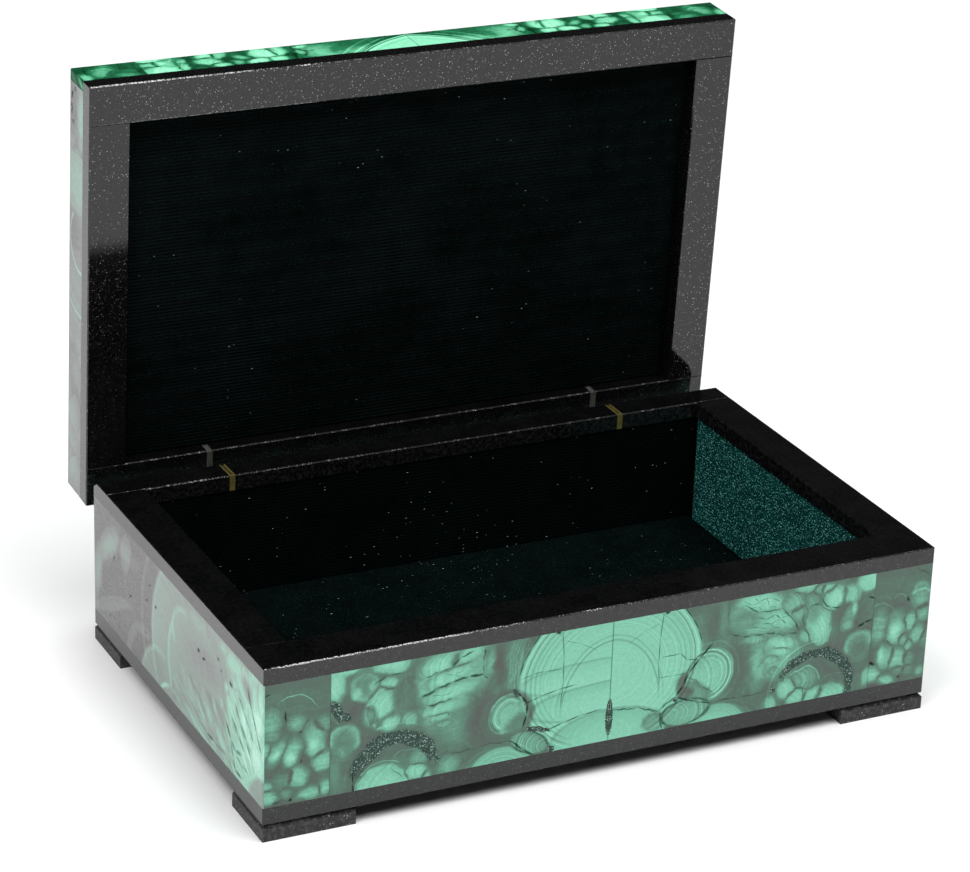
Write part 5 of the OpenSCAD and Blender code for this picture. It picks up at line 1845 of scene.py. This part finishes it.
@dataclass
class Linings:
    """Velvet on the floor and walls of the tray and in the lid."""

    rib_pitch: float = 1.0 * MM
    rib_height: float = 0.045 * MM
    border: float = 0.7 * MM
    border_share: float = 0.6
    nap: float = 0.10 * MM
    turn_in: float = 3.0 * MM
    column_step: float = 1.6 * MM
    row_step: float = 0.22 * MM
    least_columns: int = 12
    least_rows: int = 24

    def build(self, finishes: Finishes) -> None:
        """Args:
            finishes: The box's finishes.
        """
        tree = SheetTree()
        floor_low, floor_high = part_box("floor_lining")
        self.sheet(tree, finishes.velvet, "floor_lining", "base", floor_low, floor_high, Matrix.Identity(3))
        quarter = math.pi / 2
        stand = Matrix.Rotation(quarter, 3, "X")
        turns = {"back": 0.0, "front": math.pi, "left": quarter, "right": -quarter}
        for side, turn in turns.items():
            name = f"wall_lining_{side}"
            # The right wall takes the velvet copy with painted light.
            cloth = finishes.velvet_lit if side == "right" else finishes.velvet
            low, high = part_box(name)
            self.sheet(tree, cloth, name, "base", low, high, Matrix.Rotation(turn, 3, "Z") @ stand)
        self.lid_sheet(tree, finishes.velvet_lid)

    def sheet(self, tree: SheetTree, cloth: bpy.types.Material, node: str, body: str, low: Vector,
              high: Vector, turn: Matrix, shift: Matrix | None = None) -> None:
        """Makes one velvet in the space of its node.

        Args:
            tree: The sheet tree.
            cloth: The velvet's material.
            node: The node that the velvet stands for.
            body: The body that it rides on.
            low: Lowest corner of its space.
            high: Highest corner of its space.
            turn: Turn from the flat sheet, whose pile faces up, to its place.
            shift: A last move of the placed sheet, or none.
        """
        span = turn.transposed() @ (high - low)
        wide, long, thick = (abs(part) for part in span)
        values = {"Width": wide, "Length": long, "Rib pitch": self.rib_pitch, "Rib height": self.rib_height,
                  "Border": min(self.border, self.border_share * thick), "Nap": self.nap, "Cloth": cloth,
                  "Columns": max(self.least_columns, round(wide / self.column_step)),
                  "Rows": max(self.least_rows, round(long / self.row_step))}
        inputs = {tree.ids[label]: value for label, value in values.items()}
        piece = bake_tree(f"velvet_{node}", tree.tree, inputs)
        close_below(piece.data, thick)
        piece.data.transform(Matrix.Translation((0.0, 0.0, thick / 2)))
        piece.data.transform(Matrix.Translation((low + high) / 2) @ turn.to_4x4())
        if shift is not None:
            piece.data.transform(shift)
        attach(piece, body)
        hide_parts(node)
        log.info("%s: %.0f x %.0f mm", piece.name, wide / MM, long / MM)

    def lid_sheet(self, tree: SheetTree, cloth: bpy.types.Material) -> None:
        """Makes the lid's velvet flat on the closed lid and swings it open.

        Args:
            tree: The sheet tree.
            cloth: The velvet's material.
        """
        closing = hinge_turn(LID_TRAVEL)
        places = [closing @ vert.co for vert in frame["nodes"]["lid_lining"].data.vertices]
        low = Vector(min(place[axis] for place in places) for axis in range(3))
        high = Vector(max(place[axis] for place in places) for axis in range(3))
        upside_down = Matrix.Rotation(math.pi, 3, "X")
        self.sheet(tree, cloth, "lid_lining", "lid", low, high, upside_down, closing.inverted())


def hinge_turn(angle: float) -> Matrix:
    """Gives a turn about the lid's hinge, from the open lid towards the closed one."""
    to_hinge = Matrix.Translation(HINGE_PLACE)
    return to_hinge @ Matrix.Rotation(angle, 4, "X") @ to_hinge.inverted()


@dataclass
class Lamp:
    """A square soft lamp that looks at the box."""

    name: str
    place: Vector
    side: float
    watts: float


@dataclass
class Studio:
    """Floor, light and camera."""

    floor_half: float = 6.0
    floor_white: float = 0.93
    floor_cloud: float = 0.01
    floor_rough: float = 0.9
    camera_place: Vector = Vector((-376.84, -752.34, 424.07)) * MM
    camera_aim: Vector = Vector((-2.78, 0.0, 65.90)) * MM
    camera_roll: float = math.radians(2.093)
    camera_lens: float = 127.58
    camera_reach: Point = (0.01, 50.0)
    world_level: float = 0.02
    lamps: tuple[Lamp, ...] = (
        Lamp("key_lamp", Vector((0.45, -0.75, 2.0)), 1.5, 36.0),
        Lamp("side_lamp", Vector((-1.15, -0.40, 1.75)), 1.4, 31.0),
        Lamp("back_lamp", Vector((0.45, 1.20, 2.1)), 1.6, 20.0),
    )

    def build(self) -> None:
        """Builds the floor, the lamps, the world and the camera."""
        self.floor()
        self.light()
        self.world()
        self.camera()

    def floor(self) -> None:
        """Lays a plain pale floor."""
        material, w, shader = new_material("floor")
        shade = w.noise(w.node("ShaderNodeTexCoord").outputs["Object"], 3.0, 2.0)
        near, far = (self.floor_white,) * 3, (self.floor_white - self.floor_cloud,) * 3
        w.fill(shader, {"Base Color": w.mix_colour(shade, near, far), "Roughness": self.floor_rough,
                        "Specular IOR Level": 0.0})
        half = self.floor_half
        mesh = bpy.data.meshes.new("floor")
        corners = [(-half, -half, 0), (half, -half, 0), (half, half, 0), (-half, half, 0)]
        mesh.from_pydata(corners, [], [(0, 1, 2, 3)])
        mesh.materials.append(material)
        floor = bpy.data.objects.new("floor", mesh)
        bpy.context.scene.collection.objects.link(floor)

    def light(self) -> None:
        """Hangs the soft lamps."""
        for lamp in self.lamps:
            light = bpy.data.lights.new(lamp.name, "AREA")
            light.shape = "SQUARE"
            light.size = lamp.side
            light.energy = lamp.watts
            holder = bpy.data.objects.new(lamp.name, light)
            holder.location = lamp.place
            holder.rotation_euler = (self.camera_aim - lamp.place).to_track_quat("-Z", "Y").to_euler()
            bpy.context.scene.collection.objects.link(holder)

    def world(self) -> None:
        """Makes a dim surrounding that is white where the camera looks past the floor."""
        world = bpy.data.worlds.new("surrounding")
        world.use_nodes = True
        w = Wiring(world.node_tree)
        seen = w.node("ShaderNodeLightPath").outputs["Is Camera Ray"]
        sky = world.node_tree.nodes["Background"]
        w.feed(sky.inputs["Strength"], w.remap(seen, 0.0, 1.0, self.world_level, 1.0, smooth=False))
        sky.inputs["Color"].default_value = (1.0, 1.0, 1.0, 1.0)
        bpy.context.scene.world = world

    def camera(self) -> None:
        """Sets the camera at the photograph's place."""
        lens = bpy.data.cameras.new("camera")
        lens.lens = self.camera_lens
        lens.sensor_fit = "HORIZONTAL"
        lens.clip_start, lens.clip_end = self.camera_reach
        camera = bpy.data.objects.new("camera", lens)
        look = (self.camera_aim - self.camera_place).to_track_quat("-Z", "Y").to_matrix()
        turn = look @ Matrix.Rotation(self.camera_roll, 3, "Z")
        camera.matrix_world = Matrix.Translation(self.camera_place) @ turn.to_4x4()
        bpy.context.scene.collection.objects.link(camera)
        bpy.context.scene.camera = camera


def main() -> None:
    """Builds the studio and dresses the box."""
    logging.basicConfig(level=logging.INFO, format="%(message)s")
    bpy.context.scene.view_settings.view_transform = "Standard"
    Studio().build()
    finishes = Finishes()
    Carcass().dress(finishes)
    Lid().dress(finishes)
    Hinges().dress(finishes)
    Linings().build(finishes)


if __name__ == "__main__":
    main()
